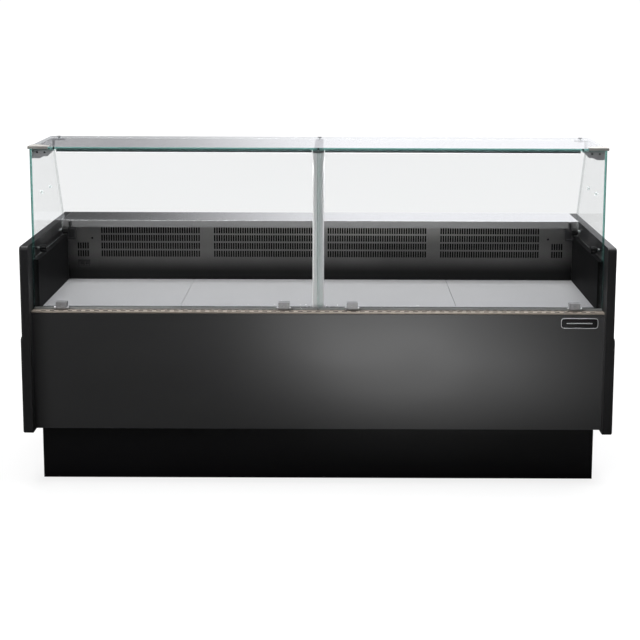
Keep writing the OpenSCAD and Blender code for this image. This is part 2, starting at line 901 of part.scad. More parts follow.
module evaporator_fan(x) {
    y0 = fan_plate_y + 5;
    depth = fan_d - 14;
    color("#2f3133") translate([x, y0, fan_z]) {
        fan_rotor(fan_w / 2 - 5, 24, depth, 5);
        rod_y(depth - 1, depth + 8, 0, 0, fan_shaft_r);
    }
}

// Drain stub: a collar in the tub's floor, the pipe, and a wider spigot below the body
module drain_pipe() {
    color("#3d3f41") difference() {
        union() {
            rod_z(tub_z, tub_z + 2, drain_x(), drain_y(), drain_r + 4);
            rod_z(130, tub_z + 1, drain_x(), drain_y(), drain_r - 2);
            rod_z(120, 180, drain_x(), drain_y(), drain_r);
        }
        rod_z(119, tub_z + 3, drain_x(), drain_y(), drain_r - 4);
    }
}

// ---- Condensing unit ----

// Tray of the unit with the fan ring bent up from it
module unit_base() {
    x0 = machine_x + 12;
    x1 = half_w - wall_t - 12;
    color("#5a5c5e") difference() {
        union() {
            block([x0, store_y + 150, unit_z], [x1, coil_y + 60, unit_z + 2]);
            block([unit_x - 150, condenser_fan_y, unit_z],
                [unit_x + 150, condenser_fan_y + 2, unit_z + 206]);
            for (x = [unit_x - 150, unit_x + 148])
                block([x, condenser_fan_y, unit_z], [x + 2, coil_y, unit_z + 206]);
        }
        rod_y(condenser_fan_y - 1, condenser_fan_y + 3, unit_x, condenser_fan_z,
            condenser_fan_r + 4);
        for (x = [x0 + 20, x1 - 20], y = [store_y + 170, coil_y + 45])
            rod_z(unit_z - 1, unit_z + 3, x, y, 4);
    }
}

function compressor_x() = unit_x - 20;
function compressor_y() = store_y + 230;

module compressor() {
    z0 = unit_z + 2;
    color("#151617") translate([compressor_x(), compressor_y(), z0]) {
        rotate_extrude() polygon([
            [0, 14], [52, 14], [68, 24], [75, 40], [75, 78], [78, 79], [78, 86], [75, 87],
            [75, 122], [68, 142], [50, 155], [24, 161], [0, 162]
        ]);
        for (x = [-1, 1], y = [-1, 1])
            translate([x * 70, y * 50, 0]) cylinder(r = 9, h = 13);
        block([-82, -62, 10], [82, -38, 14.5]);
        block([-82, 38, 10], [82, 62, 14.5]);
        block([60, -28, 50], [98, 28, 116]);
        translate([-40, 0, 140]) cylinder(r = 4.8, h = 42);
        translate([20, -30, 140]) cylinder(r = 3.2, h = 34);
    }
}

module condenser_coil() {
    z0 = unit_z + 2;
    x0 = unit_x - 146;
    color("#a7a9ab") {
        for (i = [0 : 24])
            block([x0 + i * 12, coil_y + 2, z0], [x0 + i * 12 + 1, coil_y + 50, z0 + 200]);
        for (row = [0 : 3], column = [0 : 1])
            rod_x(x0 - 8, x0 + 297, coil_y + 14 + column * 24, z0 + 25 + row * 50, 4.5);
        for (x = [x0 - 8, x0 + 297], row = [0 : 1], column = [0 : 1])
            rod_z(z0 + 24 + row * 100, z0 + 76 + row * 100, x, coil_y + 14 + column * 24, 5.1);
    }
}

module condenser_fan_motor() {
    y1 = condenser_fan_y;
    color("#44474a") difference() {
        union() {
            rod_y(y1 - 66, y1 - 18, unit_x, condenser_fan_z, 36);
            block([unit_x - 112, y1 - 22, condenser_fan_z - 8],
                [unit_x + 112, y1 - 19, condenser_fan_z + 8]);
            for (x = [unit_x - 112, unit_x + 109])
                block([x, y1 - 22, condenser_fan_z - 8], [x + 3, y1, condenser_fan_z + 8]);
        }
        rod_y(y1 - 60, y1 - 17, unit_x, condenser_fan_z, motor_shaft_r + run_gap);
    }
}

module condenser_fan() {
    color("#c7c9cb") translate([unit_x, condenser_fan_y - 10, condenser_fan_z]) {
        fan_rotor(condenser_fan_r, 26, 22, 5);
        rod_y(-36, 1, 0, 0, motor_shaft_r);
    }
}

// A pipe run through a list of points, with a slightly fuller elbow at each bend
module pipe_run(points, r) {
    for (i = [0 : len(points) - 2]) {
        v = points[i + 1] - points[i];
        translate(points[i]) rotate([0, acos(v.z / norm(v)), atan2(v.y, v.x)])
            cylinder(r = r, h = norm(v));
    }
    for (i = [1 : len(points) - 2])
        translate(points[i]) sphere(r = r + 0.8);
}

module refrigerant_pipes() {
    cx = compressor_x();
    cy = compressor_y();
    z0 = unit_z + 2;
    color("#b5713f") {
        pipe_run([
            [cx + 20, cy - 30, z0 + 174], [cx + 20, cy - 30, z0 + 190],
            [unit_x + 168, cy - 30, z0 + 190], [unit_x + 168, coil_y + 14, z0 + 190],
            [unit_x + 168, coil_y + 14, z0 + 175], [unit_x + 156.5, coil_y + 14, z0 + 175]
        ], 3.2);
        pipe_run([
            [unit_x - 159.5, coil_y + 38, z0 + 25], [unit_x - 166, coil_y + 38, z0 + 25],
            [unit_x - 166, coil_y - 140, z0 + 25]
        ], 3.2);
        rod_y(coil_y - 230, coil_y - 139, unit_x - 166, z0 + 25, 10);
    }
}

// Terminal box, with the gland where the supply cord enters through the grille
module electrical_box() {
    x0 = half_w - wall_t - 120;
    color("#d8d8d4") {
        block([x0, store_y + 330, unit_z + 2], [x0 + 100, store_y + 470, unit_z + 130]);
        difference() {
            union() {
                rod_y(store_y + 469, skin_y + 10, x0 + 70, unit_z + 60, 10);
                rod_y(skin_y + 1, skin_y + 8, x0 + 70, unit_z + 60, 13);
            }
            rod_y(skin_y - 20, skin_y + 11, x0 + 70, unit_z + 60, 5);
        }
    }
}

module machine_grille() {
    x0 = machine_x - 18;
    x1 = half_w - 2;
    z1 = door_top;
    color("#8f9193") difference() {
        block([x0, frame_y + 1, door_low], [x1, skin_y, z1]);
        block([x0 + sheet_t, frame_y, door_low + sheet_t],
            [x1 - sheet_t, skin_y - sheet_t, z1 - sheet_t]);
        for (column = [0 : 2], i = [0 : 11])
            translate([x0 + 40 + column * 124, skin_y - 5, door_low + 28 + i * 13])
                cube([110, 10, 5]);
        rod_y(skin_y - 5, skin_y + 1, half_w - wall_t - 50, unit_z + 60, 11);
    }
}

// ---- Clamp knobs, doors ----

// Lobed knob on a stud that screws into the end panel, drawn for the right-hand side
module clamp_knob(y) {
    inner = half_w - glass_t;
    color("#111111") difference() {
        union() {
            rod_x(inner - 24, inner - 3, y, knob_z, knob_r);
            rod_x(inner - 4, inner - 0.3, y, knob_z, 9);
            rod_x(inner - 1, half_w + 12, y, knob_z, knob_stud_r);
        }
        for (a = [0 : 60 : 300])
            translate([0, (knob_r + 2.5) * cos(a), (knob_r + 2.5) * sin(a)])
                rod_x(inner - 25, inner - 8, y, knob_z, 5);
    }
}

module knob_front_left() {
    mirror([1, 0, 0]) clamp_knob(knob_front_y);
}

module knob_rear_left() {
    mirror([1, 0, 0]) clamp_knob(knob_rear_y);
}

module knob_front_right() {
    clamp_knob(knob_front_y);
}

module knob_rear_right() {
    clamp_knob(knob_rear_y);
}

// A storage door from x0 to x1, hinged at hinge_x and pulled open at its other edge
module storage_door(x0, x1, hinge_x) {
    pull = hinge_x < (x0 + x1) / 2 ? x1 - 34 : x0 + 10;
    color("#95979a") difference() {
        block([x0, door_y, door_low], [x1, skin_y, door_top]);
        block([pull, skin_y - 16, door_low + 20], [pull + 24, skin_y + 1, door_top - 20]);
        for (z = [door_low - 1, door_top - 13])
            rod_z(z, z + 14, hinge_x, door_axis_y, door_pin_r + run_gap);
    }
}

function door_1() = [-half_w + 4, -half_w + door_w - 2];
function door_2() = [-half_w + door_w + 2, machine_x - 24];

module storage_door_left() {
    storage_door(door_1()[0], door_1()[1], door_1()[0] + door_axis_in);
}

module storage_door_right() {
    storage_door(door_2()[0], door_2()[1], door_2()[1] - door_axis_in);
}

// Plates on the body's rear face with the pins that the doors turn on
module door_hinge_brackets() {
    color("#7c7e80") for (x = [door_1()[0] + door_axis_in, door_2()[1] - door_axis_in]) {
        block([x - 11, frame_y, body_z - 1], [x + 11, skin_y, door_low - 1]);
        rod_z(door_low - 1.5, door_low + 10, x, door_axis_y, door_pin_r);
        block([x - 11, frame_y, door_top + 1], [x + 11, skin_y, door_top + 4]);
        rod_z(door_top - 10, door_top + 1.5, x, door_axis_y, door_pin_r);
    }
}

base_frame();
levelling_feet();
plinth();
lower_carcass();
front_panel();
end_panel_left();
end_panel_right();
side_liners();
front_rail();
air_return_grille();
insulated_tub();
duct_panel_left();
duct_panel_right();
probe_box();
corner_blocks();
worktop();
rear_panel();
control_panel();
top_glass();
side_glass_left();
side_glass_right();
roof_connectors();
corner_covers();
upright();
upright_brackets();
led_profiles();
led_diffusers();
roof_screws();
deck_supports();
evaporator_coil();
fan_plate();
fan_frames();
drain_pipe();
unit_base();
compressor();
condenser_coil();
condenser_fan_motor();
refrigerant_pipes();
electrical_box();
machine_grille();
glass_hinge_brackets();
door_hinge_brackets();
front_glass_left();
glass_clamps_left();
front_glass_right();
glass_clamps_right();
deck_plate(1);  // deck_plate_1
deck_plate(2);  // deck_plate_2
deck_plate(3);  // deck_plate_3
deck_plate(4);  // deck_plate_4
evaporator_fan(-fan_x);  // evaporator_fan_left
evaporator_fan(fan_x);  // evaporator_fan_right
condenser_fan();
knob_front_left();
knob_rear_left();
knob_front_right();
knob_rear_right();
storage_door_left();
storage_door_right();
light_switch();
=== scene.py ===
"""The looks of a refrigerated serve-over deli case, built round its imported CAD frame."""
import logging
import math
from dataclasses import dataclass
from enum import Enum
from functools import partial
from typing import Callable, Iterator, Sequence, Union

import bmesh
import bpy
from mathutils import Matrix, Vector


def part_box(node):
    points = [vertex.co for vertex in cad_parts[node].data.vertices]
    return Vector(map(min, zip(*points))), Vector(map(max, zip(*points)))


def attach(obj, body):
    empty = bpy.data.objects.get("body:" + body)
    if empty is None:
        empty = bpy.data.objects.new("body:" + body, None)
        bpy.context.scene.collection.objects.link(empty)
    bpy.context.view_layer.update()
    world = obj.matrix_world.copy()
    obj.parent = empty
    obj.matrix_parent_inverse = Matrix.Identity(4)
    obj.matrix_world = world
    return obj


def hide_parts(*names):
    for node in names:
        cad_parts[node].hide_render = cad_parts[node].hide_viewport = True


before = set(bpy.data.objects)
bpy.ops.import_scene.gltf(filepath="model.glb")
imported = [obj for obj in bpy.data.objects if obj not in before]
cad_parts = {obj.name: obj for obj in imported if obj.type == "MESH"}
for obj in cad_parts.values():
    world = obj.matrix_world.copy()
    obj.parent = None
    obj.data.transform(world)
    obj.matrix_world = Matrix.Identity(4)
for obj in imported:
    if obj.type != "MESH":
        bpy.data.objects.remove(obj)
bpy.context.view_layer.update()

log = logging.getLogger("deli_case")

Colour = tuple[float, float, float]
Flat = tuple[float, float]


class Grain(Enum):
    """The direction along which a metal was brushed."""

    LENGTHWISE = (3.0, 260.0, 260.0)
    DEPTHWISE = (260.0, 3.0, 260.0)
    UPRIGHT = (260.0, 260.0, 3.0)


class Facing(Enum):
    """The plane that a flat outline is drawn in; its depth runs along the third axis."""

    FLOOR = (0, 1, 2)
    FRONT = (0, 2, 1)
    SIDE = (1, 2, 0)

    def put(self, u: float, v: float, w: float) -> Vector:
        """The point of the row frame at (u, v) in the plane and w along its normal.

        Args:
            u: The first coordinate in the plane.
            v: The second coordinate in the plane.
            w: The coordinate along the normal.

        Returns:
            The point.
        """
        spot = Vector((0.0, 0.0, 0.0))
        for axis, value in zip(self.value, (u, v, w)):
            spot[axis] = value
        return spot


# ---- Shader nodes ----


class Sock:
    """A node's output socket, which adds Math nodes where it is used in an expression."""

    def __init__(self, graph: "Graph", socket: bpy.types.NodeSocket) -> None:
        """Keeps the socket and the graph that it belongs to."""
        self.graph = graph
        self.socket = socket

    def _maths(self, operation: str, first: "Value", second: "Value") -> "Sock":
        """Adds one Math node with two values."""
        return self.graph.node("ShaderNodeMath", {"operation": operation}, {0: first, 1: second})

    def __add__(self, other: "Value") -> "Sock":
        """self + other."""
        return self._maths("ADD", self, other)

    def __sub__(self, other: "Value") -> "Sock":
        """self - other."""
        return self._maths("SUBTRACT", self, other)

    def __rsub__(self, other: "Value") -> "Sock":
        """other - self."""
        return self._maths("SUBTRACT", other, self)

    def __mul__(self, other: "Value") -> "Sock":
        """self * other."""
        return self._maths("MULTIPLY", self, other)

    __radd__ = __add__
    __rmul__ = __mul__


Value = Union[float, Sock]


class Graph:
    """The node tree of one material or world."""

    def __init__(self, tree: bpy.types.NodeTree) -> None:
        """Takes the tree and empties it."""
        self.tree = tree
        tree.nodes.clear()

    def node(
        self,
        kind: str,
        settings: dict[str, object] | None = None,
        values: dict[int | str, object] | None = None,
        output: int | str = 0,
    ) -> Sock:
        """Adds one node.

        Args:
            kind: The node's Blender type.
            settings: Its properties, which are set first.
            values: What each input socket holds, or the Sock that is linked to it.
            output: The output socket to return.

        Returns:
            The chosen output socket.
        """
        made = self.tree.nodes.new(kind)
        for key, value in (settings or {}).items():
            setattr(made, key, value)
        for key, value in (values or {}).items():
            if isinstance(value, Sock):
                self.tree.links.new(value.socket, made.inputs[key])
            else:
                made.inputs[key].default_value = value
        return Sock(self, made.outputs[output] if made.outputs else None)

    def place(self, scale: Sequence[float]) -> Sock:
        """The point in the row frame, in metres, multiplied by a scale for each axis."""
        spot = self.node("ShaderNodeTexCoord", output="Object")
        return self.node("ShaderNodeVectorMath", {"operation": "MULTIPLY"}, {0: spot, 1: scale})

    def noise(self, scale: Sequence[float], detail: float = 2.0, rough: float = 0.5) -> Sock:
        """A noise from 0 to 1 whose size is set for each axis."""
        values = {"Vector": self.place(scale), "Scale": 1.0, "Detail": detail, "Roughness": rough}
        return self.node("ShaderNodeTexNoise", None, values)

    def tint(self, factor: Value, first: Colour, second: Colour) -> Sock:
        """A colour between two colours."""
        values = {0: factor, 6: (*first, 1.0), 7: (*second, 1.0)}
        return self.node("ShaderNodeMix", {"data_type": "RGBA"}, values, 2)

    def bump(self, height: Sock, depth: float, strength: float = 1.0) -> Sock:
        """A normal that shows a height from 0 to 1 as a relief of that depth in metres."""
        values = {"Height": height, "Distance": depth, "Strength": strength}
        return self.node("ShaderNodeBump", None, values, "Normal")

    def surface(self, values: dict[int | str, object]) -> Sock:
        """One Principled surface."""
        return self.node("ShaderNodeBsdfPrincipled", None, values)

    def output(self, surface: Sock) -> None:
        """Ends the tree at the material's output."""
        self.node("ShaderNodeOutputMaterial", None, {"Surface": surface})


def shade(colour: Colour, factor: float) -> Colour:
    """A colour made lighter or darker."""
    red, green, blue = (min(1.0, part * factor) for part in colour)
    return red, green, blue


# ---- Finishes ----


@dataclass(frozen=True)
class Finish:
    """A finish of the case, which becomes one material."""

    name: str
    colour: Colour
    roughness: float

    def material(self) -> bpy.types.Material:
        """The finish's material, made when it is first asked for.

        Returns:
            The material.
        """
        name = f"finish_{self.name}"
        made = bpy.data.materials.get(name)
        if made is None:
            made = bpy.data.materials.new(name)
            made.use_nodes = True
            made.diffuse_color = (*self.colour, 1.0)
            graph = Graph(made.node_tree)
            graph.output(self.draw(graph))
        return made

    def draw(self, graph: Graph) -> Sock:
        """Draws the finish's shader; each kind of finish has its own."""
        raise NotImplementedError


@dataclass(frozen=True)
class Painted(Finish):
    """Sheet metal with a sprayed or powder coat: a fine orange peel and faint handling marks."""

    peel: float = 0.00004
    specular: float = 0.5

    def draw(self, graph: Graph) -> Sock:
        """Draws the coat.

        Args:
            graph: The nodes of the material.

        Returns:
            The shader.
        """
        peel = graph.noise((420.0,) * 3, 3.0)
        marks = graph.noise((3.1, 3.1, 5.3), 5.0, 0.62)
        return graph.surface({
            "Base Color": graph.tint(marks, shade(self.colour, 0.86), shade(self.colour, 1.14)),
            "Roughness": self.roughness - 0.05 + marks * 0.1,
            "Specular IOR Level": self.specular,
            "Normal": graph.bump(peel, self.peel),
        })


@dataclass(frozen=True)
class Brushed(Finish):
    """Bare metal brushed along one direction, with softly varying gloss."""

    grain: Grain = Grain.LENGTHWISE
    depth: float = 0.00002
    metal: float = 1.0

    def draw(self, graph: Graph) -> Sock:
        """Draws the brushed metal.

        Args:
            graph: The nodes of the material.

        Returns:
            The shader.
        """
        fine = graph.noise(self.grain.value, 3.0, 0.6)
        wide = graph.noise(tuple(part / 6.0 for part in self.grain.value), 2.0)
        smudge = graph.noise((4.0,) * 3, 4.0, 0.6)
        streak = fine * 0.6 + wide * 0.4
        return graph.surface({
            "Base Color": graph.tint(streak, shade(self.colour, 0.93), shade(self.colour, 1.06)),
            "Metallic": self.metal,
            "Roughness": self.roughness - 0.09 + streak * 0.1 + smudge * 0.08,
            "Normal": graph.bump(streak, self.depth),
        })


@dataclass(frozen=True)
class ShadedBrushed(Brushed):
    """Brushed metal that is darker and duller low down: painted shade, standing in for the shade and dark
    reflection at the foot of the duct.
    """

    # dull is the colour of the painted shade low down.
    dull: Colour = (0.02, 0.02, 0.02)
    low: float = 0.65
    high: float = 0.76

    def draw(self, graph: Graph) -> Sock:
        """Draws the brushed metal with its film.

        Args:
            graph: The nodes of the material.

        Returns:
            The shader.
        """
        fine = graph.noise(self.grain.value, 3.0, 0.6)
        smudge = graph.noise((5.0, 5.0, 2.0), 4.0, 0.6)
        # Painted shade: the colour fades from dull below low to the metal's own above high, varied at
        # random by the smudge.
        height = graph.node("ShaderNodeSeparateXYZ", None, {0: graph.place((1.0, 1.0, 1.0))}, "Z")
        values = {"Value": height, "From Min": self.low, "From Max": self.high}
        clear = graph.node("ShaderNodeMapRange", {"interpolation_type": "SMOOTHSTEP"}, values)
        return graph.surface({
            "Base Color": graph.tint(clear * (smudge * 0.6 + 0.7), self.dull, self.colour),
            "Metallic": self.metal,
            "Roughness": self.roughness + smudge * 0.1,
            "Normal": graph.bump(fine, self.depth),
        })


@dataclass(frozen=True)
class Zinc(Finish):
    """Galvanised sheet with its spangle of zinc crystals."""

    spangle: float = 60.0

    def draw(self, graph: Graph) -> Sock:
        """Draws the spangled zinc.

        Args:
            graph: The nodes of the material.

        Returns:
            The shader.
        """
        crystal = graph.node(
            "ShaderNodeTexVoronoi", None, {"Vector": graph.place((self.spangle,) * 3), "Scale": 1.0}, 1
        )
        level = graph.node("ShaderNodeSeparateColor", None, {0: crystal}, 0)
        dull = graph.noise((9.0,) * 3, 4.0)
        return graph.surface({
            "Base Color": graph.tint(level, shade(self.colour, 0.78), shade(self.colour, 1.14)),
            "Metallic": 0.9,
            "Roughness": self.roughness + level * 0.12 + dull * 0.1,
            "Normal": graph.bump(level, 0.00002),
        })


@dataclass(frozen=True)
class Moulded(Finish):
    """Moulded plastic or rubber with a fine stipple."""

    stipple: float = 900.0
    depth: float = 0.00006
    specular: float = 0.5

    def draw(self, graph: Graph) -> Sock:
        """Draws the stippled plastic.

        Args:
            graph: The nodes of the material.

        Returns:
            The shader.
        """
        dots = graph.noise((self.stipple,) * 3, 2.0, 0.7)
        flow = graph.noise((7.0,) * 3, 3.0)
        return graph.surface({
            "Base Color": graph.tint(flow, shade(self.colour, 0.85), shade(self.colour, 1.2)),
            "Roughness": self.roughness - 0.06 + dots * 0.06 + flow * 0.08,
            "Specular IOR Level": self.specular,
            "Normal": graph.bump(dots, self.depth),
        })


@dataclass(frozen=True)
class Cast(Finish):
    """Cast, plated or drawn metal with a slightly uneven skin."""

    wave: float = 140.0
    metal: float = 1.0

    def draw(self, graph: Graph) -> Sock:
        """Draws the metal.

        Args:
            graph: The nodes of the material.

        Returns:
            The shader.
        """
        skin = graph.noise((self.wave,) * 3, 3.0)
        stain = graph.noise((22.0,) * 3, 4.0)
        return graph.surface({
            "Base Color": graph.tint(stain, shade(self.colour, 0.82), shade(self.colour, 1.12)),
            "Metallic": self.metal,
            "Roughness": self.roughness - 0.04 + stain * 0.08,
            "Normal": graph.bump(skin, 0.00005),
        })


@dataclass(frozen=True)
class ClearGlass(Finish):
    """The face of a pane: light passes through, slightly tinted, and its gloss follows Fresnel."""

    gloss: float = 1.0

    def draw(self, graph: Graph) -> Sock:
        """Draws the clear face.

        Args:
            graph: The nodes of the material.

        Returns:
            The shader.
        """
        smear = graph.noise((2.2, 2.2, 4.1), 5.0, 0.6)
        through = graph.node("ShaderNodeBsdfTransparent", None, {"Color": (*self.colour, 1.0)})
        shine = graph.surface({
            "Base Color": (0.95, 0.96, 0.97, 1.0),
            "Metallic": 1.0,
            "Roughness": self.roughness + smear * 0.04,
        })
        slant = graph.node("ShaderNodeLayerWeight", None, {"Blend": 0.5}, "Facing")
        square = slant * slant
        mirror = (square * square * slant * 0.96 + smear * 0.01 + 0.035) * self.gloss
        return graph.node("ShaderNodeMixShader", None, {0: mirror, 1: through, 2: shine})


@dataclass(frozen=True)
class Drilled(Finish):
    """The ground wall of a hole in a pane: frosted, and half clear."""

    def draw(self, graph: Graph) -> Sock:
        """Draws the frosted wall.

        Args:
            graph: The nodes of the material.

        Returns:
            The shader.
        """
        frost = graph.noise((700.0,) * 3, 2.0)
        through = graph.node("ShaderNodeBsdfTransparent", None, {"Color": (0.9, 0.95, 0.94, 1.0)})
        ground = graph.surface({
            "Base Color": graph.tint(frost, shade(self.colour, 0.9), self.colour),
            "Roughness": self.roughness,
        })
        return graph.node("ShaderNodeMixShader", None, {0: frost * 0.2 + 0.25, 1: through, 2: ground})


@dataclass(frozen=True)
class GlassEdge(Finish):
    """The polished edge of a pane, where light comes through tinted by the glass's iron."""

    def draw(self, graph: Graph) -> Sock:
        """Draws the tinted edge.

        Args:
            graph: The nodes of the material.

        Returns:
            The shader.
        """
        band = graph.noise((6.0, 6.0, 6.0), 3.0)
        through = graph.node("ShaderNodeBsdfTransparent", None, {"Color": (*self.colour, 1.0)})
        polish = graph.surface({
            "Base Color": graph.tint(band, shade(self.colour, 0.5), shade(self.colour, 0.8)),
            "Roughness": self.roughness,
        })
        return graph.node("ShaderNodeMixShader", None, {0: band * 0.1 + 0.2, 1: through, 2: polish})


@dataclass(frozen=True)
class Opal(Finish):
    """Opal or lit plastic with fine ribs."""

    glow: float = 0.0

    def draw(self, graph: Graph) -> Sock:
        """Draws the plastic.

        Args:
            graph: The nodes of the material.

        Returns:
            The shader.
        """
        ribs = graph.node(
            "ShaderNodeTexWave", {"bands_direction": "X"},
            {"Vector": graph.place((1.0,) * 3), "Scale": 160.0, "Distortion": 0.0}, 1
        )
        return graph.surface({
            "Base Color": graph.tint(ribs, shade(self.colour, 0.9), self.colour),
            "Roughness": self.roughness + ribs * 0.08,
            "Emission Color": (*self.colour, 1.0),
            "Emission Strength": self.glow,
            "Normal": graph.bump(ribs, 0.0001),
        })


CHARCOAL = Painted("charcoal_coat", (0.0245, 0.0245, 0.025), 0.31)
KICK_BLACK = Painted("kick_plate_gloss", (0.0035, 0.0035, 0.004), 0.2, 0.00003)
WHITE_COAT = Painted("white_coat", (0.74, 0.75, 0.74), 0.4)
GREY_COAT = Painted("grey_coat", (0.27, 0.28, 0.29), 0.42)
UNIT_COAT = Painted("unit_coat", (0.09, 0.09, 0.1), 0.45)
MOTOR_COAT = Painted("motor_coat", (0.11, 0.115, 0.12), 0.4)
SHELL_COAT = Painted("compressor_coat", (0.011, 0.011, 0.012), 0.3, 0.0001)
SCREW_BLACK = Painted("screw_black", (0.018, 0.018, 0.019), 0.35)
CAP_GREY = Painted("cap_grey", (0.16, 0.16, 0.165), 0.35)
END_BLACK = Moulded("end_panel_texture", (0.014, 0.014, 0.0145), 0.36, 900.0, 0.00006, 0.14)
LINER_BLACK = Moulded("liner_satin", (0.0035, 0.0035, 0.0037), 0.45, 500.0, 0.00006, 0.01)
PLASTIC_BLACK = Moulded("plastic_black", (0.012, 0.012, 0.0125), 0.42)
KNOB_BLACK = Moulded("knob_black", (0.006, 0.006, 0.006), 0.5, 900.0, 0.00006, 0.1)
FAN_BLACK = Moulded("fan_black", (0.03, 0.03, 0.032), 0.45)
SWITCH_BLACK = Moulded("switch_black", (0.016, 0.016, 0.017), 0.2)
PANEL_BLACK = Moulded("control_black", (0.022, 0.022, 0.024), 0.38)
KEY_GREY = Moulded("key_grey", (0.14, 0.145, 0.15), 0.5)
DRAIN_GREY = Moulded("drain_grey", (0.06, 0.065, 0.07), 0.5)
BOX_GREY = Moulded("box_grey", (0.55, 0.55, 0.53), 0.45)
RUBBER = Moulded("gasket_rubber", (0.04, 0.04, 0.042), 0.6)
# Painted shade: the duct steel darkens towards the bottom.
DUCT_STEEL = ShadedBrushed("duct_stainless", (0.28, 0.273, 0.268), 0.32)
TOP_STEEL = Brushed("worktop_stainless", (0.64, 0.64, 0.65), 0.24, Grain.LENGTHWISE, 0.000006)
# Painted shade: a darker, duller copy of the worktop steel for the faces that face the front.
TOP_EDGE_SHADED = Brushed("worktop_edge", (0.2, 0.199, 0.198), 0.38, Grain.LENGTHWISE, 0.000006, 0.35)
DECK_STEEL = Brushed("deck_stainless", (0.275, 0.275, 0.277), 0.42, Grain.DEPTHWISE, 0.00002, 0.25)
POST_METAL = Brushed("upright_anodised", (0.84, 0.83, 0.83), 0.42, Grain.UPRIGHT, 0.00002, 0.2)
RAIL_METAL = Brushed("champagne_anodised", (0.3, 0.26, 0.22), 0.45, Grain.LENGTHWISE, 0.00002, 0.3)
LAMP_METAL = Brushed("lamp_channel", (0.2, 0.2, 0.21), 0.36)
CLAMP_METAL = Brushed("clamp_satin", (0.26, 0.26, 0.265), 0.42, Grain.LENGTHWISE, 0.00002, 0.3)
BRACKET_STEEL = Brushed("bracket_satin", (0.36, 0.36, 0.37), 0.34)
COVER_STEEL = Brushed("cover_satin", (0.27, 0.26, 0.245), 0.4, Grain.LENGTHWISE, 0.00002, 0.3)
COIL_FINS = Brushed("fin_aluminium", (0.6, 0.61, 0.62), 0.4, Grain.UPRIGHT)
FAN_METAL = Brushed("fan_aluminium", (0.55, 0.55, 0.56), 0.4)
PLATED = Zinc("zinc_plate", (0.56, 0.55, 0.52), 0.3, 220.0)
GALVANISED = Zinc("galvanised_sheet", (0.5, 0.52, 0.53), 0.36)
CHROME = Cast("satin_chrome", (0.6, 0.6, 0.61), 0.22, 140.0, 0.35)
WIRE_STEEL = Cast("guard_wire", (0.5, 0.5, 0.5), 0.25)
COPPER_PIPE = Cast("drawn_copper", (0.6, 0.28, 0.16), 0.28)
PANE_FACE = ClearGlass("pane_face", (0.922, 0.927, 0.928), 0.015)
SIDE_FACE = ClearGlass("side_face", (0.985, 0.987, 0.987), 0.015, 0.3)
ROOF_FACE = ClearGlass("roof_face", (0.815, 0.815, 0.83), 0.01, 0.52)
PANE_SEAL = Moulded("pane_seal", (0.3, 0.31, 0.31), 0.3)
PANE_EDGE = GlassEdge("pane_edge", (0.24, 0.47, 0.43), 0.1)
REAR_EDGE = GlassEdge("rear_edge", (0.86, 0.88, 0.88), 0.1)
PANE_HOLE = Drilled("pane_hole", (0.7, 0.74, 0.73), 0.5)
DIFFUSER = Opal("opal_diffuser", (0.86, 0.87, 0.88), 0.35, 1.2)
DISPLAY_LIT = Opal("display_lit", (0.9, 0.08, 0.03), 0.4, 2.0)
DISPLAY_DARK = Painted("display_window", (0.01, 0.004, 0.004), 0.08, 0.000004)


# ---- Mesh work ----


def rounded(points: Sequence[Flat], radius: float, steps: int = 3) -> list[Flat]:
    """Rounds the corners of a closed outline.

    Args:
        points: The outline's corners, anticlockwise.
        radius: How far from each corner its curve starts, in metres.
        steps: The number of edges in each curve.

    Returns:
        The rounded outline.
    """
    out: list[Flat] = []
    for i, corner in enumerate(points):
        here = Vector(corner)
        ends = []
        for other in (points[i - 1], points[(i + 1) % len(points)]):
            away = Vector(other) - here
            ends.append(here + away.normalized() * min(radius, away.length * 0.45))
        for step in range(steps + 1):
            t = step / steps
            spot = ends[0] * (1 - t) ** 2 + here * 2 * t * (1 - t) + ends[1] * t**2
            out.append((spot.x, spot.y))
    return out


def inset(points: Sequence[Flat], distance: float) -> list[Flat]:
    """Moves a closed anticlockwise outline inwards by a distance, corner by corner.

    Args:
        points: The outline's corners.
        distance: How far each edge moves.

    Returns:
        The moved outline.
    """
    out: list[Flat] = []
    for i, corner in enumerate(points):
        here = Vector(corner)
        before = (here - Vector(points[i - 1])).normalized()
        after = (Vector(points[(i + 1) % len(points)]) - here).normalized()
        normal = Vector((-before.y - after.y, before.x + after.x)).normalized()
        reach = max(0.35, normal.dot(Vector((-before.y, before.x))))
        spot = here + normal * (distance / reach)
        out.append((spot.x, spot.y))
    return out


def circle(centre: Flat, radius: float, sides: int = 24) -> list[Flat]:
    """A round outline, anticlockwise."""
    turns = (2 * math.pi * i / sides for i in range(sides))
    return [(centre[0] + radius * math.cos(a), centre[1] + radius * math.sin(a)) for a in turns]


def oblong(low: Flat, high: Flat, radius: float, steps: int = 3) -> list[Flat]:
    """A rectangle with round corners, anticlockwise."""
    corners = [low, (high[0], low[1]), high, (low[0], high[1])]
    return rounded(corners, radius, steps)


def bridge(mesh: bmesh.types.BMesh, rings: Sequence[Sequence[bmesh.types.BMVert]], slot: int) -> None:
    """Joins closed rings of the same number of points, each to the next.

    Args:
        mesh: The mesh that it is added to.
        rings: The rings, in order.
        slot: The material slot of the new faces.
    """
    for first, second in zip(rings, rings[1:]):
        for i in range(len(first)):
            j = (i + 1) % len(first)
            mesh.faces.new((first[i], first[j], second[j], second[i])).material_index = slot


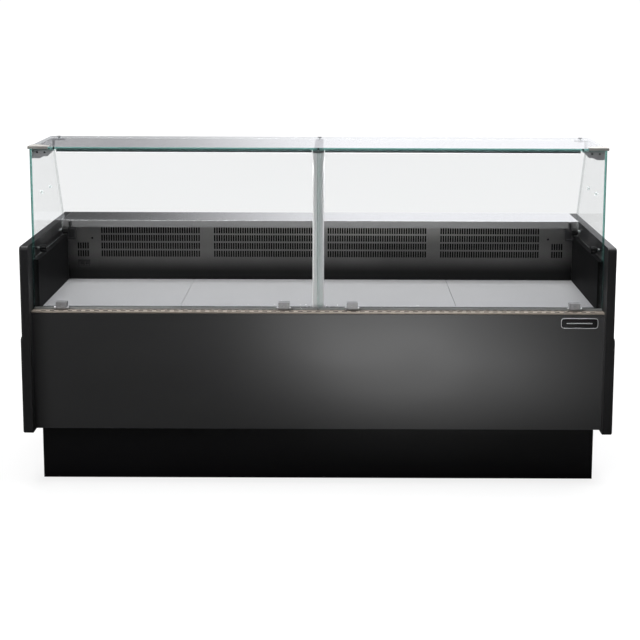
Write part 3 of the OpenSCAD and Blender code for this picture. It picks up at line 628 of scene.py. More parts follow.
def slab(
    mesh: bmesh.types.BMesh,
    facing: Facing,
    outline: Sequence[Flat],
    low: float,
    high: float,
    chamfer: float = 0.0,
    holes: Sequence[Sequence[Flat]] = (),
    slots: tuple[int, int] = (0, 0),
) -> None:
    """Adds a flat plate with chamfered edges and holes.

    Args:
        mesh: The mesh that the plate is added to.
        facing: The plane of the outline.
        outline: The plate's outer edge, anticlockwise.
        low: Where its first face is, along the plane's normal.
        high: Where its second face is.
        chamfer: The size of the chamfer round both faces.
        holes: The outlines of its holes, anticlockwise.
        slots: The material slots of its outer edge and of its holes.
    """
    rims: tuple[list[bmesh.types.BMEdge], list[bmesh.types.BMEdge]] = ([], [])
    for loop, sign, slot in [(outline, 1.0, slots[0]), *((hole, -1.0, slots[1]) for hole in holes)]:
        pulled = inset(loop, chamfer * sign) if chamfer else loop
        levels = [(pulled, low), (loop, low + chamfer), (loop, high - chamfer), (pulled, high)]
        if not chamfer:
            levels = [(loop, low), (loop, high)]
        rings = [[mesh.verts.new(facing.put(u, v, w)) for u, v in ring] for ring, w in levels]
        bridge(mesh, rings, slot)
        for rim, ring in zip(rims, (rings[0], rings[-1])):
            for i, vert in enumerate(ring):
                rim.append(mesh.edges.get((vert, ring[(i + 1) % len(ring)])))
    for rim in rims:
        bmesh.ops.triangle_fill(mesh, use_beauty=True, edges=rim)


def turned(
    mesh: bmesh.types.BMesh, axis: int, centre: Sequence[float], profile: Sequence[Flat], sides: int = 24
) -> None:
    """Adds a turned piece.

    Args:
        mesh: The mesh that the piece is added to.
        axis: 0, 1 or 2 for an axis along X, Y or Z.
        centre: The point where the profile's height is 0.
        profile: The radius and height of each ring; a radius of 0 closes an end.
        sides: The number of sides.
    """
    across, up = (axis + 1) % 3, (axis + 2) % 3
    rings: list[list[bmesh.types.BMVert]] = []
    for radius, height in profile:
        ring = []
        for i in range(sides if radius else 1):
            spot = Vector(centre)
            angle = 2 * math.pi * i / sides
            spot[axis] += height
            spot[across] += radius * math.cos(angle)
            spot[up] += radius * math.sin(angle)
            ring.append(mesh.verts.new(spot))
        rings.append(ring)
    for first, second in zip(rings, rings[1:]):
        if len(first) == len(second):
            bridge(mesh, (first, second), 0)
            continue
        tip, rim = (first[0], second) if len(first) == 1 else (second[0], first)
        for i in range(sides):
            mesh.faces.new((tip, rim[i], rim[(i + 1) % sides]))
    for ring in (rings[0], rings[-1]):
        if len(ring) > 1:
            mesh.faces.new(ring)


def wire(
    mesh: bmesh.types.BMesh, path: Sequence[Vector], radius: float, closed: bool = False, sides: int = 6
) -> None:
    """Adds a round wire along a path, capped at its ends unless it is closed.

    Args:
        mesh: The mesh that it is added to.
        path: The points of the wire's centre line.
        radius: The wire's radius.
        closed: Whether its ends meet.
        sides: The number of sides.
    """
    rings = []
    last = len(path) - 1
    for i, spot in enumerate(path):
        before = path[i - 1] if i or closed else spot
        after = path[(i + 1) % len(path)] if i < last or closed else spot
        turn = (after - before).to_track_quat("Z", "Y")
        turns = (2 * math.pi * k / sides for k in range(sides))
        rings.append([
            mesh.verts.new(spot + turn @ Vector((radius * math.cos(a), radius * math.sin(a), 0.0)))
            for a in turns
        ])
    bridge(mesh, [*rings, rings[0]] if closed else rings, 0)
    if not closed:
        mesh.faces.new(rings[0])
        mesh.faces.new(rings[-1])


def fins(
    mesh: bmesh.types.BMesh, node: str, end: float, pitch: float, thickness: float, foot: float
) -> None:
    """Adds the close fins of a coil.

    Args:
        mesh: The mesh that the fins are added to.
        node: The CAD node of the coil.
        end: How far the fins stop short of each end.
        pitch: The distance from one fin to the next.
        thickness: The thickness of a fin.
        foot: How far above the coil's underside the fins start.
    """
    low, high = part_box(node)
    front, back, base, top = low.y + 0.001, high.y - 0.001, low.z + foot, high.z - 0.001
    for i in range(int((high.x - low.x - 2 * end) / pitch)):
        x = low.x + end + (i + 0.5) * pitch
        slab(mesh, Facing.SIDE, [(front, base), (back, base), (back, top), (front, top)], x, x + thickness)


def link(obj: bpy.types.Object) -> None:
    """Puts an object into the scene."""
    bpy.context.scene.collection.objects.link(obj)


class Assembly:
    """What every sub-assembly shares: dressing CAD nodes and adding pieces that ride on a body."""

    body = "cabinet"

    def build(self) -> Iterator[str]:
        """Builds the sub-assembly and gives a line about each of its pieces."""
        raise NotImplementedError

    def dress(self, nodes: str, finish: Finish, soft: float = 0.0) -> Iterator[str]:
        """Gives CAD nodes their finish.

        Args:
            nodes: The nodes' names, parted by spaces.
            finish: The finish that they get.
            soft: The radius of their softened edges, in metres, or 0 to leave them.

        Yields:
            A line about each node.
        """
        for name in nodes.split():
            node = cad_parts[name]
            node.data.materials.clear()
            node.data.materials.append(finish.material())
            if soft:
                node.modifiers.new("weld", "WELD").merge_threshold = 0.00001
                flat = node.modifiers.new("flat", "DECIMATE")
                flat.decimate_type = "DISSOLVE"
                flat.angle_limit = math.radians(0.5)
                edge = node.modifiers.new("soft_edge", "BEVEL")
                edge.width = soft
                edge.segments = 2
                edge.limit_method = "ANGLE"
                edge.angle_limit = math.radians(40)
                edge.harden_normals = True
            yield f"{name}: {finish.name}"

    def add(
        self,
        name: str,
        draw: Callable[[bmesh.types.BMesh], None],
        finishes: Sequence[Finish],
        slot: str,
        body: str | None = None,
        replaces: str = "",
    ) -> str:
        """Adds one piece.

        Args:
            name: The piece's name.
            draw: The method that draws its mesh.
            finishes: The finish of each material slot.
            slot: The record's material slot; not used.
            body: The CAD body it rides on, or None for the assembly's own.
            replaces: The CAD node it stands for, if any.

        Returns:
            A line about the piece.
        """
        mesh = bmesh.new()
        draw(mesh)
        bmesh.ops.recalc_face_normals(mesh, faces=mesh.faces)
        data = bpy.data.meshes.new(name)
        mesh.to_mesh(data)
        mesh.free()
        data.shade_smooth()
        data.set_sharp_from_angle(angle=math.radians(32))
        for finish in finishes:
            data.materials.append(finish.material())
        piece = bpy.data.objects.new(name, data)
        link(piece)
        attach(piece, body or self.body)
        if replaces:
            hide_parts(replaces)
        return f"{name}: {len(data.polygons)} faces, {finishes[0].name}"


# ---- Studio ----


@dataclass
class Lamp:
    """A soft light: a rectangle that faces a point."""

    name: str
    at: Sequence[float]
    towards: Sequence[float]
    size: Flat
    power: float
    mirrored: bool = True

    def build(self) -> str:
        """Hangs the light.

        Returns:
            A line about the light.
        """
        data = bpy.data.lights.new(self.name, "AREA")
        data.shape = "RECTANGLE"
        data.size, data.size_y = self.size
        data.energy = self.power
        lamp = bpy.data.objects.new(self.name, data)
        lamp.location = self.at
        aim = Vector(self.towards) - Vector(self.at)
        lamp.rotation_mode = "QUATERNION"
        lamp.rotation_quaternion = aim.to_track_quat("-Z", "Y")
        lamp.visible_camera = False
        lamp.visible_glossy = self.mirrored
        link(lamp)
        return f"light {self.name}"


@dataclass
class Studio:
    """The pale room, its lights and the camera."""

    lens: float = 75.93
    pitch: float = 0.1481
    yaw: float = -0.0006
    roll: float = -0.0034
    stand: Sequence[float] = (0.06336, -4.9677, 1.69096)
    shift: Flat = (-0.0245, -0.18)
    floor_radius: float = 14.0
    near_floor: float = 1.0
    far_floor: float = 3.2
    card: float = 10.0
    slant: float = 0.344

    def build(self) -> Iterator[str]:
        """Builds the studio.

        Yields:
            A line about each piece.
        """
        bpy.context.scene.view_settings.view_transform = "Standard"
        self._camera()
        self._world()
        yield self._floor()
        for lamp in (
            Lamp("overhead_softbox", (0.0, 0.1, 3.0), (0.0, 0.0, 0.6), (3.4, 1.6), 210.0),
            Lamp("rear_softbox", (2.3, 3.4, 1.9), (0.3, 0.0, 0.9), (3.0, 2.2), 80.0, mirrored=False),
            Lamp("front_softbox", (-2.6, -3.6, 3.4), (0.0, 0.0, 0.6), (2.4, 1.8), 90.0),
            Lamp("left_softbox", (-4.0, -2.4, 0.9), (-0.6, -0.3, 0.5), (1.2, 1.6), 55.0),
            Lamp("display_light", (0.0, -0.3, 1.165), (0.0, 0.0, 0.66), (1.86, 0.02), 7.0, mirrored=False),
        ):
            yield lamp.build()

    def _camera(self) -> None:
        """Sets the camera: it looks level along +Y, turned by the yaw, pitch and roll."""
        ahead = Vector((
            math.sin(self.yaw) * math.cos(self.pitch),
            math.cos(self.yaw) * math.cos(self.pitch),
            -math.sin(self.pitch),
        ))
        right = Vector((math.cos(self.yaw), -math.sin(self.yaw), 0.0))
        above = right.cross(ahead)
        tilted = right * math.cos(self.roll) - above * math.sin(self.roll)
        top = above * math.cos(self.roll) + right * math.sin(self.roll)
        data = bpy.data.cameras.new("camera")
        data.lens = self.lens
        data.shift_x, data.shift_y = self.shift
        data.clip_end = 100.0
        camera = bpy.data.objects.new("camera", data)
        turn = Matrix((tilted, top, -ahead)).transposed().to_4x4()
        camera.matrix_world = Matrix.Translation(self.stand) @ turn
        link(camera)
        bpy.context.scene.camera = camera

    def _world(self) -> None:
        """Lights the room: bright behind the case and to its right, dark in front of it."""
        world = bpy.data.worlds.new("room")
        world.use_nodes = True
        graph = Graph(world.node_tree)
        toward = graph.node("ShaderNodeTexCoord", output="Generated")
        behind = self._ramp(graph, toward, "Y", -0.1, 0.5, 0.0, 1.0)
        right = self._ramp(graph, toward, "X", -0.17, 0.03, 0.02, 1.35)
        above = self._ramp(graph, toward, "Z", 0.3, 1.0, 0.0, 0.3)
        level = behind * right + above + 0.03
        grey = graph.node("ShaderNodeCombineColor", None, {0: level, 1: level, 2: level * 1.03})
        room = graph.node("ShaderNodeBackground", None, {"Color": grey, "Strength": 1.0})
        white = graph.node("ShaderNodeBackground", None, {"Color": (1, 1, 1, 1), "Strength": 1.05})
        seen = graph.node("ShaderNodeLightPath", output="Is Camera Ray")
        both = graph.node("ShaderNodeMixShader", None, {0: seen, 1: room, 2: white})
        graph.node("ShaderNodeOutputWorld", None, {"Surface": both})
        bpy.context.scene.world = world

    def _ramp(
        self, graph: Graph, spot: Sock, axis: str, start: float, end: float, low: float, high: float
    ) -> Sock:
        """A value that goes smoothly from low to high between two coordinates along one axis."""
        part = graph.node("ShaderNodeSeparateXYZ", None, {0: spot}, axis)
        return self._range(graph, part, start, end, low, high)

    def _matt(self, graph: Graph, grey: float, level: Sock, glow: float) -> Sock:
        """A matt surface that also glows where its level is 1.

        Args:
            graph: The nodes of the material.
            grey: Its grey in the light.
            level: Where it glows, from 0 to 1.
            glow: How strongly it glows at level 1.

        Returns:
            The shader.
        """
        return graph.surface({
            "Base Color": (grey, grey, grey, 1.0),
            "Roughness": 1.0,
            "Specular IOR Level": 0.0,
            "Emission Color": graph.tint(level, (0.0, 0.0, 0.0), (1.0, 1.0, 1.0)),
            "Emission Strength": glow,
        })

    def _range(
        self, graph: Graph, value: Sock, start: float, end: float, low: float, high: float
    ) -> Sock:
        """A value that goes smoothly from low to high while another goes from start to end."""
        values = {"Value": value, "From Min": start, "From Max": end, "To Min": low, "To Max": high}
        return graph.node("ShaderNodeMapRange", {"interpolation_type": "SMOOTHSTEP"}, values)

    def _card(self, graph: Graph, spot: Sock) -> Sock:
        """Where the floor glows for the painted front to mirror: a patch with its left edge aslant.

        Args:
            graph: The nodes of the material.
            spot: The point on the floor.

        Returns:
            The level, from 0 to 1.
        """
        across = {0: spot, 1: (1.0, -self.slant, 0.0)}
        slant = graph.node("ShaderNodeVectorMath", {"operation": "DOT_PRODUCT"}, across, "Value")
        edge = self._range(graph, slant, 0.45, 0.85, 0.0, 1.0)
        beyond = self._range(graph, slant, 1.05, 2.15, 0.0, 1.0)
        close = self._ramp(graph, spot, "Y", -2.4, -1.1, 0.0, 1.0)
        far = self._ramp(graph, spot, "Y", -3.03, -2.97, 0.0, 1.0)
        return (edge - beyond) * (1.0 - close) * far

    def _floor_white(self, graph: Graph) -> Sock:
        """Draws the floor: its glow is painted lower near the case, a painted shade round it, where the
        case's shadow falls.

        Args:
            graph: The nodes of the material.

        Returns:
            The shader.
        """
        spot = graph.place((1.0, 1.0, 1.0))
        reach = graph.node("ShaderNodeVectorMath", {"operation": "LENGTH"}, {0: spot}, "Value")
        # Painted shade: the glow seen by the camera drops near the case.
        level = self._range(graph, reach, self.near_floor, self.far_floor, 0.784, 1.0)
        shown = self._matt(graph, 0.17, level, 1.02)
        rear = self._ramp(graph, spot, "Y", 0.3, 1.4, 0.0, 0.08)
        thrown = self._matt(graph, 0.03, self._card(graph, spot) + rear, self.card)
        seen = graph.node("ShaderNodeLightPath", output="Is Camera Ray")
        return graph.node("ShaderNodeMixShader", None, {0: seen, 1: thrown, 2: shown})

    def _floor(self) -> str:
        """Lays the round pale floor.

        Returns:
            A line about the floor.
        """
        mesh = bmesh.new()
        mesh.faces.new([mesh.verts.new((x, y, 0.0)) for x, y in circle((0.0, 0.0), self.floor_radius, 96)])
        data = bpy.data.meshes.new("floor")
        mesh.to_mesh(data)
        mesh.free()
        material = bpy.data.materials.new("floor")
        material.use_nodes = True
        graph = Graph(material.node_tree)
        graph.output(self._floor_white(graph))
        data.materials.append(material)
        floor = bpy.data.objects.new("floor", data)
        link(floor)
        return "floor"


# ---- Sub-assemblies ----


@dataclass
class Base(Assembly):
    """The welded frame, its feet and the kick plate."""

    def build(self) -> Iterator[str]:
        """Builds the base.

        Yields:
            A line about each piece.
        """
        yield from self.dress("base_frame", GALVANISED)
        yield from self.dress("levelling_feet", PLATED)
        yield from self.dress("plinth", KICK_BLACK)


@dataclass
class Body(Assembly):
    """The insulated body, its painted front, its end panels and their fittings."""

    plate_low: Flat = (0.849, 0.570)
    plate_high: Flat = (0.979, 0.607)
    plate_round: float = 0.012
    plate_proud: float = 0.0026
    rim: float = 0.0022

    def build(self) -> Iterator[str]:
        """Builds the body.

        Yields:
            A line about each piece.
        """
        yield from self.dress("lower_carcass insulated_tub", WHITE_COAT)
        yield from self.dress("front_panel", CHARCOAL)
        yield from self.dress("end_panel_left end_panel_right", END_BLACK)
        yield from self.dress("side_liners", LINER_BLACK, 0.001)
        yield self.add("badge_rim", self._badge_rim, (CHROME,), "cast_zinc")
        yield self.add("badge_face", self._badge_face, (KICK_BLACK,), "gloss_black_sheet")
        yield self.add("badge_stripe", self._badge_stripe, (CHROME,), "cast_zinc")

    def _face(self) -> float:
        """Where the painted front stands."""
        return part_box("front_panel")[0].y

    def _badge_rim(self, mesh: bmesh.types.BMesh) -> None:
        """Draws the raised rim of the plain badge plate.

        Args:
            mesh: The mesh that it is added to.
        """
        outer = oblong(self.plate_low, self.plate_high, self.plate_round, 6)
        front = self._face()
        hole = inset(outer, self.rim)
        slab(mesh, Facing.FRONT, outer, front - self.plate_proud, front + 0.0002, 0.0006, [hole])

    def _badge_face(self, mesh: bmesh.types.BMesh) -> None:
        """Draws the dark field inside the rim.

        Args:
            mesh: The mesh that it is added to.
        """
        outer = oblong(self.plate_low, self.plate_high, self.plate_round, 6)
        front = self._face()
        slab(mesh, Facing.FRONT, inset(outer, self.rim - 0.0002), front - 0.0014, front + 0.0002, 0.0003)

    def _badge_stripe(self, mesh: bmesh.types.BMesh) -> None:
        """Draws the plain stripe across the field.

        Args:
            mesh: The mesh that it is added to.
        """
        low, high = self.plate_low, self.plate_high
        middle = (low[1] + high[1]) / 2
        stripe = oblong((low[0] + 0.02, middle - 0.0016), (high[0] - 0.02, middle + 0.0016), 0.0015)
        front = self._face()
        slab(mesh, Facing.FRONT, stripe, front - 0.002, front - 0.0012, 0.0003)


@dataclass
class FrontRail(Assembly):
    """The slotted aluminium rail, the air return behind it and the panes' hinges."""

    wall: float = 0.003
    shade_gap: float = 0.0006

    def build(self) -> Iterator[str]:
        """Builds the rail and the hinges.

        Yields:
            A line about each piece.
        """
        yield from self.dress("front_rail", RAIL_METAL)
        # Painted shade: the walls of the slots are made black.
        self._paint_slot_shade()
        yield from self.dress("air_return_grille", PLASTIC_BLACK)
        yield from self.dress("glass_hinge_brackets", BRACKET_STEEL)
        yield from self.dress("glass_clamps_left glass_clamps_right", CLAMP_METAL, 0.0008)
        # Painted shade: a black strip under the slots.
        yield self.add("rail_slot_shade_strip", self._slot_shade_strip, (LINER_BLACK,), "black_plastic")

    def _paint_slot_shade(self) -> None:
        """Gives the walls of the rail's slots the black liner finish: painted shade, standing in for the
        shadow inside the slots.
        """
        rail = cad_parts["front_rail"].data
        low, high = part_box("front_rail")
        rail.materials.append(LINER_BLACK.material())
        for face in rail.polygons:
            spot = face.center
            level = high.z - self.wall < spot.z < high.z - 0.0001
            if level and low.y + 0.004 < spot.y < high.y - 0.004 and abs(spot.x) < high.x - 0.004:
                face.material_index = 1

    def _slot_shade_strip(self, mesh: bmesh.types.BMesh) -> None:
        """Draws a black strip inside the rail, just below its slots: a dark sheet standing in for the shade
        inside the rail, as painted shade.

        Args:
            mesh: The mesh that it is added to.
        """
        low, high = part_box("front_rail")
        top = high.z - self.wall - self.shade_gap
        outline = oblong((low.x + 0.004, low.y + 0.0086), (high.x - 0.004, high.y - 0.0036), 0.002)
        slab(mesh, Facing.FLOOR, outline, top - 0.002, top, 0.0003)


@dataclass
class GlassHouse(Assembly):
    """The panes, the upright, the roof's fittings and its light channels."""

    chamfer: float = 0.0008
    corner: float = 0.003
    seal: float = 0.0015
    bolt: float = 0.0034
    roof_hole: float = 0.0045
    shelf_hole: float = 0.006
    shelf_z: float = 1.017
    shelf_ys: Flat = (-0.162, -0.017)
    knob_hole: float = 0.006
    knob_z: float = 0.825
    knob_ys: Flat = (-0.235, 0.155)
    side_foot: float = 0.862
    notch_back: float = 0.184
    lean: float = 0.167
    bumper: float = 0.0036
    bumper_in: float = 0.09
    foot_screw: float = 0.0215

    def build(self) -> Iterator[str]:
        """Builds the glass house.

        Yields:
            A line about each piece.
        """
        panes = (PANE_EDGE, PANE_HOLE, REAR_EDGE)
        yield self.add("roof_pane", self._roof, (ROOF_FACE, *panes), "clear_glass", None, "top_glass")
        for side in ("left", "right"):
            for kind, face, draw, body in (
                ("side", SIDE_FACE, self._side, None),
                ("front", PANE_FACE, self._front, f"front_pane_{side}"),
            ):
                node = f"{kind}_glass_{side}"
                yield self.add(
                    f"{kind}_pane_{side}", partial(draw, node=node),
                    (face, *panes), "clear_glass", body, node,
                )
            yield self.add(
                f"pane_seal_{side}", partial(self._seal, node=f"front_glass_{side}"),
                (PANE_SEAL,), "clear_glass", f"front_pane_{side}",
            )
        yield from self.dress("roof_connectors", CHROME)
        yield self.add("connector_bolts", self._bolts, (SCREW_BLACK,), "black_screws")
        yield from self.dress("corner_covers", COVER_STEEL)
        yield from self.dress("upright", POST_METAL, 0.0012)
        yield from self.dress("upright_brackets", BRACKET_STEEL, 0.0006)
        yield from self.dress("led_profiles", LAMP_METAL)
        yield from self.dress("led_diffusers", DIFFUSER)
        yield from self.dress("roof_screws", CAP_GREY)
        yield self.add("roof_bumpers", self._bumpers, (KNOB_BLACK,), "black_plastic")
        yield self.add("fixing_screws", self._screws, (SCREW_BLACK,), "black_screws")

    def _roof(self, mesh: bmesh.types.BMesh) -> None:
        """Draws the glass roof with its screw holes.

        Args:
            mesh: The mesh that it is added to.
        """
        low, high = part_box("top_glass")
        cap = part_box("roof_screws")
        inner = (low.x + high.x) / 2
        y = (cap[0].y + cap[1].y) / 2
        holes = [circle((x, y), self.roof_hole) for x in (cap[0].x + 0.008, inner, cap[1].x - 0.008)]
        outline = oblong((low.x, low.y), (high.x, high.y), self.corner)
        slab(mesh, Facing.FLOOR, outline, low.z, high.z, self.chamfer, holes, (1, 2))
        self._pale_edge(mesh, low.y + self.corner)

    def _side(self, mesh: bmesh.types.BMesh, node: str) -> None:
        """Draws one side pane: its rear edge leans, and its foot is narrower below the worktop.

        Args:
            mesh: The mesh that it is added to.
            node: The CAD node that the piece follows.
        """
        low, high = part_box(node)
        outline = rounded([
            (low.y, low.z), (self.notch_back, low.z), (self.notch_back, self.side_foot),
            (high.y, self.side_foot), (high.y - self.lean, high.z), (low.y, high.z),
        ], self.corner)
        holes = [circle((y, self.knob_z), self.knob_hole) for y in self.knob_ys]
        holes += [circle((y, self.shelf_z), self.shelf_hole) for y in self.shelf_ys]
        slab(mesh, Facing.SIDE, outline, low.x, high.x, self.chamfer, holes, (1, 2))
        self._pale_edge(mesh, self.knob_ys[0])

    def _pale_edge(self, mesh: bmesh.types.BMesh, start: float) -> None:
        """Gives the edge of a pane its pale finish behind a given Y.

        Args:
            mesh: The mesh that it is added to.
            start: Where the pale finish starts, along Y.
        """
        for face in mesh.faces:
            if face.material_index == 1 and face.calc_center_median().y > start:
                face.material_index = 3

    def _front(self, mesh: bmesh.types.BMesh, node: str) -> None:
        """Draws one front pane.

        Args:
            mesh: The mesh that it is added to.
            node: The CAD node that the piece follows.
        """
        low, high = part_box(node)
        outline = oblong((low.x, low.z), (high.x, high.z), self.corner)
        slab(mesh, Facing.FRONT, outline, low.y, high.y, self.chamfer, (), (1, 1))

    def _seal(self, mesh: bmesh.types.BMesh, node: str) -> None:
        """Draws the soft channel along the lower edge of one front pane.

        Args:
            mesh: The mesh that it is added to.
            node: The CAD node that the piece follows.
        """
        low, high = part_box(node)
        t = self.seal
        section = [
            (low.y - t, low.z - t), (high.y + t, low.z - t), (high.y + t, low.z + 3 * t),
            (high.y, low.z + 3 * t), (high.y, low.z), (low.y, low.z), (low.y, low.z + 3 * t),
            (low.y - t, low.z + 3 * t),
        ]
        slab(mesh, Facing.SIDE, section, low.x + 0.001, high.x - 0.001)

    def _bolts(self, mesh: bmesh.types.BMesh) -> None:
        """Draws the socket-head bolts in the front arms of the roof connectors.

        Args:
            mesh: The mesh that it is added to.
        """
        low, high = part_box("roof_connectors")
        head = [(self.bolt, 0.004), (self.bolt, -0.0012), (self.bolt * 0.8, -0.0018),
                (self.bolt * 0.5, -0.0018), (self.bolt * 0.45, 0.0)]
        for x in (0.018, 0.044):
            for spot in (low.x + x, high.x - x):
                turned(mesh, 1, (spot, low.y, high.z - 0.012), head, 16)

    def _bumpers(self, mesh: bmesh.types.BMesh) -> None:
        """Draws the small rubber stops on the roof's front edge, above the upright and near its ends.

        Args:
            mesh: The mesh that it is added to.
        """
        low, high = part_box("top_glass")
        r = self.bumper
        profile = [(r, 0.0002), (r, -0.0008), (r * 0.7, -0.0014), (0.0, -0.0016)]
        for x in (low.x + self.bumper_in, 0.0, high.x - self.bumper_in):
            turned(mesh, 1, (x, low.y, (low.z + high.z) / 2), profile, 16)

    def _screws(self, mesh: bmesh.types.BMesh) -> None:
        """Draws the heads in the corner covers and in the foot plate of the upright.

        Args:
            mesh: The mesh that it is added to.
        """
        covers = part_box("corner_covers")
        for x in (covers[0].x + 0.024, covers[1].x - 0.024):
            spot = (x, covers[0].y + 0.0255, covers[1].z - 0.0018)
            turned(mesh, 2, spot, [(0.0029, 0.0), (0.0029, 0.0012), (0.0018, 0.0017), (0.0, 0.0018)])
        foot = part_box("upright")[0]
        for x in (-0.032, 0.032):
            spot = (x, foot.y + self.foot_screw, foot.z - 0.0005)
            head = [(0.0055, 0.0), (0.0055, 0.0018), (0.0045, 0.0026), (0.002, 0.0026), (0.0, 0.0012)]
            turned(mesh, 2, spot, head, 12)


@dataclass
class Display(Assembly):
    """The deck plates, the rear duct and the black fittings of the display space."""

    plenum: float = 0.041
    shade_sheet: float = 0.006

    def build(self) -> Iterator[str]:
        """Builds the display space.

        Yields:
            A line about each piece.
        """
        yield from self.dress("deck_plate_1 deck_plate_2 deck_plate_3 deck_plate_4", DECK_STEEL, 0.0015)
        yield from self.dress("deck_supports", PLATED)
        yield from self.dress("duct_panel_left duct_panel_right", DUCT_STEEL)
        yield from self.dress("probe_box corner_blocks", PLASTIC_BLACK)
        yield from self.dress("knob_front_left knob_rear_left knob_front_right knob_rear_right", KNOB_BLACK)
        # Painted shade: a black sheet behind the duct's slots.
        yield self.add("plenum_shade_sheet", self._shade_sheet, (LINER_BLACK,), "black_liner")

    def _shade_sheet(self, mesh: bmesh.types.BMesh) -> None:
        """Draws a black sheet on the wall behind the duct's slots: painted shade, standing in for the shade
        inside the plenum.

        Args:
            mesh: The mesh that it is added to.
        """
        left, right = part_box("duct_panel_left")[0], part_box("duct_panel_right")[1]
        back = right.y + self.plenum
        outline = oblong((left.x + 0.004, left.z + 0.01), (right.x - 0.004, right.z - 0.002), 0.004)
        slab(mesh, Facing.FRONT, outline, back - self.shade_sheet, back, 0.001)


@dataclass
class ColdSide(Assembly):
    """The evaporator, its fans and the drain under the deck."""

    fin_pitch: float = 0.006
    fin: float = 0.0004
    ring_step: float = 0.011
    wire: float = 0.0011

    def build(self) -> Iterator[str]:
        """Builds the cold side.

        Yields:
            A line about each piece.
        """
        yield from self.dress("evaporator_coil", COIL_FINS)
        yield from self.dress("fan_plate", GALVANISED)
        yield from self.dress("fan_frames evaporator_fan_left evaporator_fan_right", FAN_BLACK)
        yield from self.dress("drain_pipe", DRAIN_GREY)
        yield self.add("evaporator_fins", self._fins, (COIL_FINS,), "coil_aluminium")
        yield self.add("fan_guards", self._guards, (WIRE_STEEL,), "zinc_plated_steel")

    def _fins(self, mesh: bmesh.types.BMesh) -> None:
        """Draws the close fins between the coil's carrying plates."""
        fins(mesh, "evaporator_coil", 0.035, self.fin_pitch, self.fin, 0.014)

    def _guards(self, mesh: bmesh.types.BMesh) -> None:
        """Draws a wire guard on the front of each evaporator fan.

        Args:
            mesh: The mesh that it is added to.
        """
        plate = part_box("fan_plate")[0].y - 0.0015
        for rotor in ("evaporator_fan_left", "evaporator_fan_right"):
            low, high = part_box(rotor)
            x, z = (low.x + high.x) / 2, (low.z + high.z) / 2
            for ring in range(1, 6):
                path = [Vector((u, plate, v)) for u, v in circle((x, z), ring * self.ring_step, 36)]
                wire(mesh, path, self.wire, True)
            for spoke in range(4):
                angle = math.pi / 4 + spoke * math.pi / 2
                way = Vector((math.cos(angle), 0.0, math.sin(angle)))
                hub = Vector((x, plate + 0.001, z))
                wire(mesh, [hub + way * self.ring_step, hub + way * 0.068], self.wire)


@dataclass
class CondensingUnit(Assembly):
    """The compressor, the condenser and their fan in the machine compartment."""

    fin_pitch: float = 0.003
    fin: float = 0.0003

    def build(self) -> Iterator[str]:
        """Builds the condensing unit.

        Yields:
            A line about each piece.
        """
        yield from self.dress("unit_base", UNIT_COAT)
        yield from self.dress("compressor", SHELL_COAT)
        yield from self.dress("condenser_coil", COIL_FINS)
        yield from self.dress("condenser_fan_motor", MOTOR_COAT)
        yield from self.dress("condenser_fan", FAN_METAL)
        yield from self.dress("refrigerant_pipes", COPPER_PIPE)
        yield from self.dress("electrical_box", BOX_GREY)
        yield self.add("condenser_fins", self._fins, (COIL_FINS,), "coil_aluminium")

    def _fins(self, mesh: bmesh.types.BMesh) -> None:
        """Draws the close fins of the condenser."""
        fins(mesh, "condenser_coil", 0.015, self.fin_pitch, self.fin, 0.001)


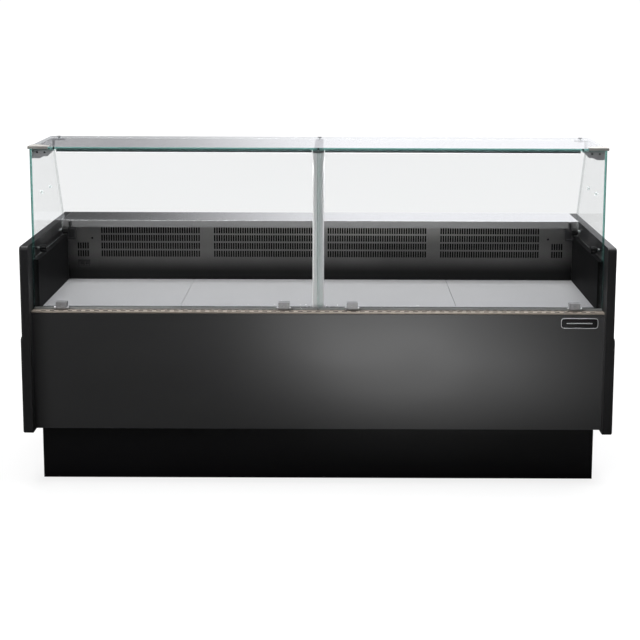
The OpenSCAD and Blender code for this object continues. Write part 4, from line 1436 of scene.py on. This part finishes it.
@dataclass
class StaffSide(Assembly):
    """The worktop, the rear skins, the controls and the storage doors."""

    screw: float = 0.0045
    gasket: float = 0.011

    def build(self) -> Iterator[str]:
        """Builds the staff side.

        Yields:
            A line about each piece.
        """
        yield from self.dress("worktop", TOP_STEEL, 0.0022)
        # Painted shade: the front-facing faces of the worktop get a darker copy of its steel.
        self._shade_front_edge()
        yield from self.dress("rear_panel machine_grille", GREY_COAT)
        yield from self.dress("storage_door_left storage_door_right", GREY_COAT, 0.0012)
        yield from self.dress("door_hinge_brackets", BRACKET_STEEL)
        yield from self.dress("control_panel", PANEL_BLACK, 0.0008)
        yield from self.dress("light_switch", SWITCH_BLACK)
        yield self.add("display_window", self._window, (DISPLAY_DARK,), "control_plastic")
        yield self.add("display_digits", self._digits, (DISPLAY_LIT,), "control_plastic")
        yield self.add("control_keys", self._keys, (KEY_GREY,), "control_plastic")
        yield self.add("rear_screws", self._screws, (PLATED,), "zinc_plated_steel")
        for side in ("left", "right"):
            node = f"storage_door_{side}"
            yield self.add(
                f"door_gasket_{side}", partial(self._gasket, node=node),
                (RUBBER,), "black_plastic", f"{side}_door",
            )

    def _shade_front_edge(self) -> None:
        """Gives the worktop's front-facing faces a darker, duller copy of the worktop steel: painted shade
        on the same folded sheet.
        """
        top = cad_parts["worktop"].data
        top.materials.append(TOP_EDGE_SHADED.material())
        for face in top.polygons:
            if face.normal.y < -0.9:
                face.material_index = 1

    def _window(self, mesh: bmesh.types.BMesh) -> None:
        """Draws the dark window of the thermostat.

        Args:
            mesh: The mesh that it is added to.
        """
        low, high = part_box("control_panel")
        outline = oblong((low.x + 0.071, low.z + 0.015), (low.x + 0.149, high.z - 0.015), 0.002)
        slab(mesh, Facing.FRONT, outline, high.y - 0.0013, high.y - 0.0005, 0.0002)

    def _digits(self, mesh: bmesh.types.BMesh) -> None:
        """Draws the lit segments of the number 3.

        Args:
            mesh: The mesh that it is added to.
        """
        low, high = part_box("control_panel")
        middle = (low.z + high.z) / 2
        x, half, long = low.x + 0.11, 0.006, 0.0095
        front = high.y - 0.0005
        for z in (middle - long, middle, middle + long):
            bar = oblong((x - half + 0.001, z - 0.0009), (x + half - 0.001, z + 0.0009), 0.0008)
            slab(mesh, Facing.FRONT, bar, front, front + 0.0003)
        for z in (middle - long, middle):
            bar = oblong((x - half - 0.0009, z + 0.001), (x - half + 0.0009, z + long - 0.001), 0.0008)
            slab(mesh, Facing.FRONT, bar, front, front + 0.0003)

    def _keys(self, mesh: bmesh.types.BMesh) -> None:
        """Draws the four domed keys.

        Args:
            mesh: The mesh that it is added to.
        """
        low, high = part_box("control_panel")
        for i in range(4):
            spot = (low.x + 0.164 + i * 0.016, high.y - 0.001, (low.z + high.z) / 2)
            turned(mesh, 1, spot, [(0.0046, 0.0), (0.0046, 0.001), (0.0036, 0.0018), (0.0, 0.0021)])

    def _screws(self, mesh: bmesh.types.BMesh) -> None:
        """Draws the pan-head screws of the rear panel and of the machine grille.

        Args:
            mesh: The mesh that it is added to.
        """
        head = [(self.screw, 0.0), (self.screw, 0.001), (self.screw * 0.75, 0.0022), (0.0, 0.0027)]
        low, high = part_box("rear_panel")
        for i in range(7):
            x = low.x + 0.05 + i * (high.x - low.x - 0.1) / 6
            for z in (low.z + 0.018, high.z - 0.02):
                turned(mesh, 1, (x, high.y - 0.0001, z), head, 16)
        low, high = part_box("machine_grille")
        for x in (low.x + 0.016, high.x - 0.016):
            for z in (low.z + 0.014, high.z - 0.014):
                turned(mesh, 1, (x, high.y - 0.0001, z), head, 16)

    def _gasket(self, mesh: bmesh.types.BMesh, node: str) -> None:
        """Draws the rubber seal round the inner face of one storage door.

        Args:
            mesh: The mesh that it is added to.
            node: The CAD node that the piece follows.
        """
        low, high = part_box(node)
        outer = oblong((low.x + 0.02, low.z + 0.012), (high.x - 0.02, high.z - 0.012), 0.006)
        slab(
            mesh, Facing.FRONT, outer, low.y - 0.0018, low.y + 0.0002, 0.0006,
            [inset(outer, self.gasket)],
        )


def main() -> None:
    """Builds the studio and the sub-assemblies in order."""
    logging.basicConfig(level=logging.INFO, format="%(message)s")
    assemblies = (
        Studio(), Base(), Body(), FrontRail(), GlassHouse(), Display(), ColdSide(),
        CondensingUnit(), StaffSide(),
    )
    for assembly in assemblies:
        log.info("%s", type(assembly).__name__)
        for line in assembly.build():
            log.info("  %s", line)


if __name__ == "__main__":
    main()
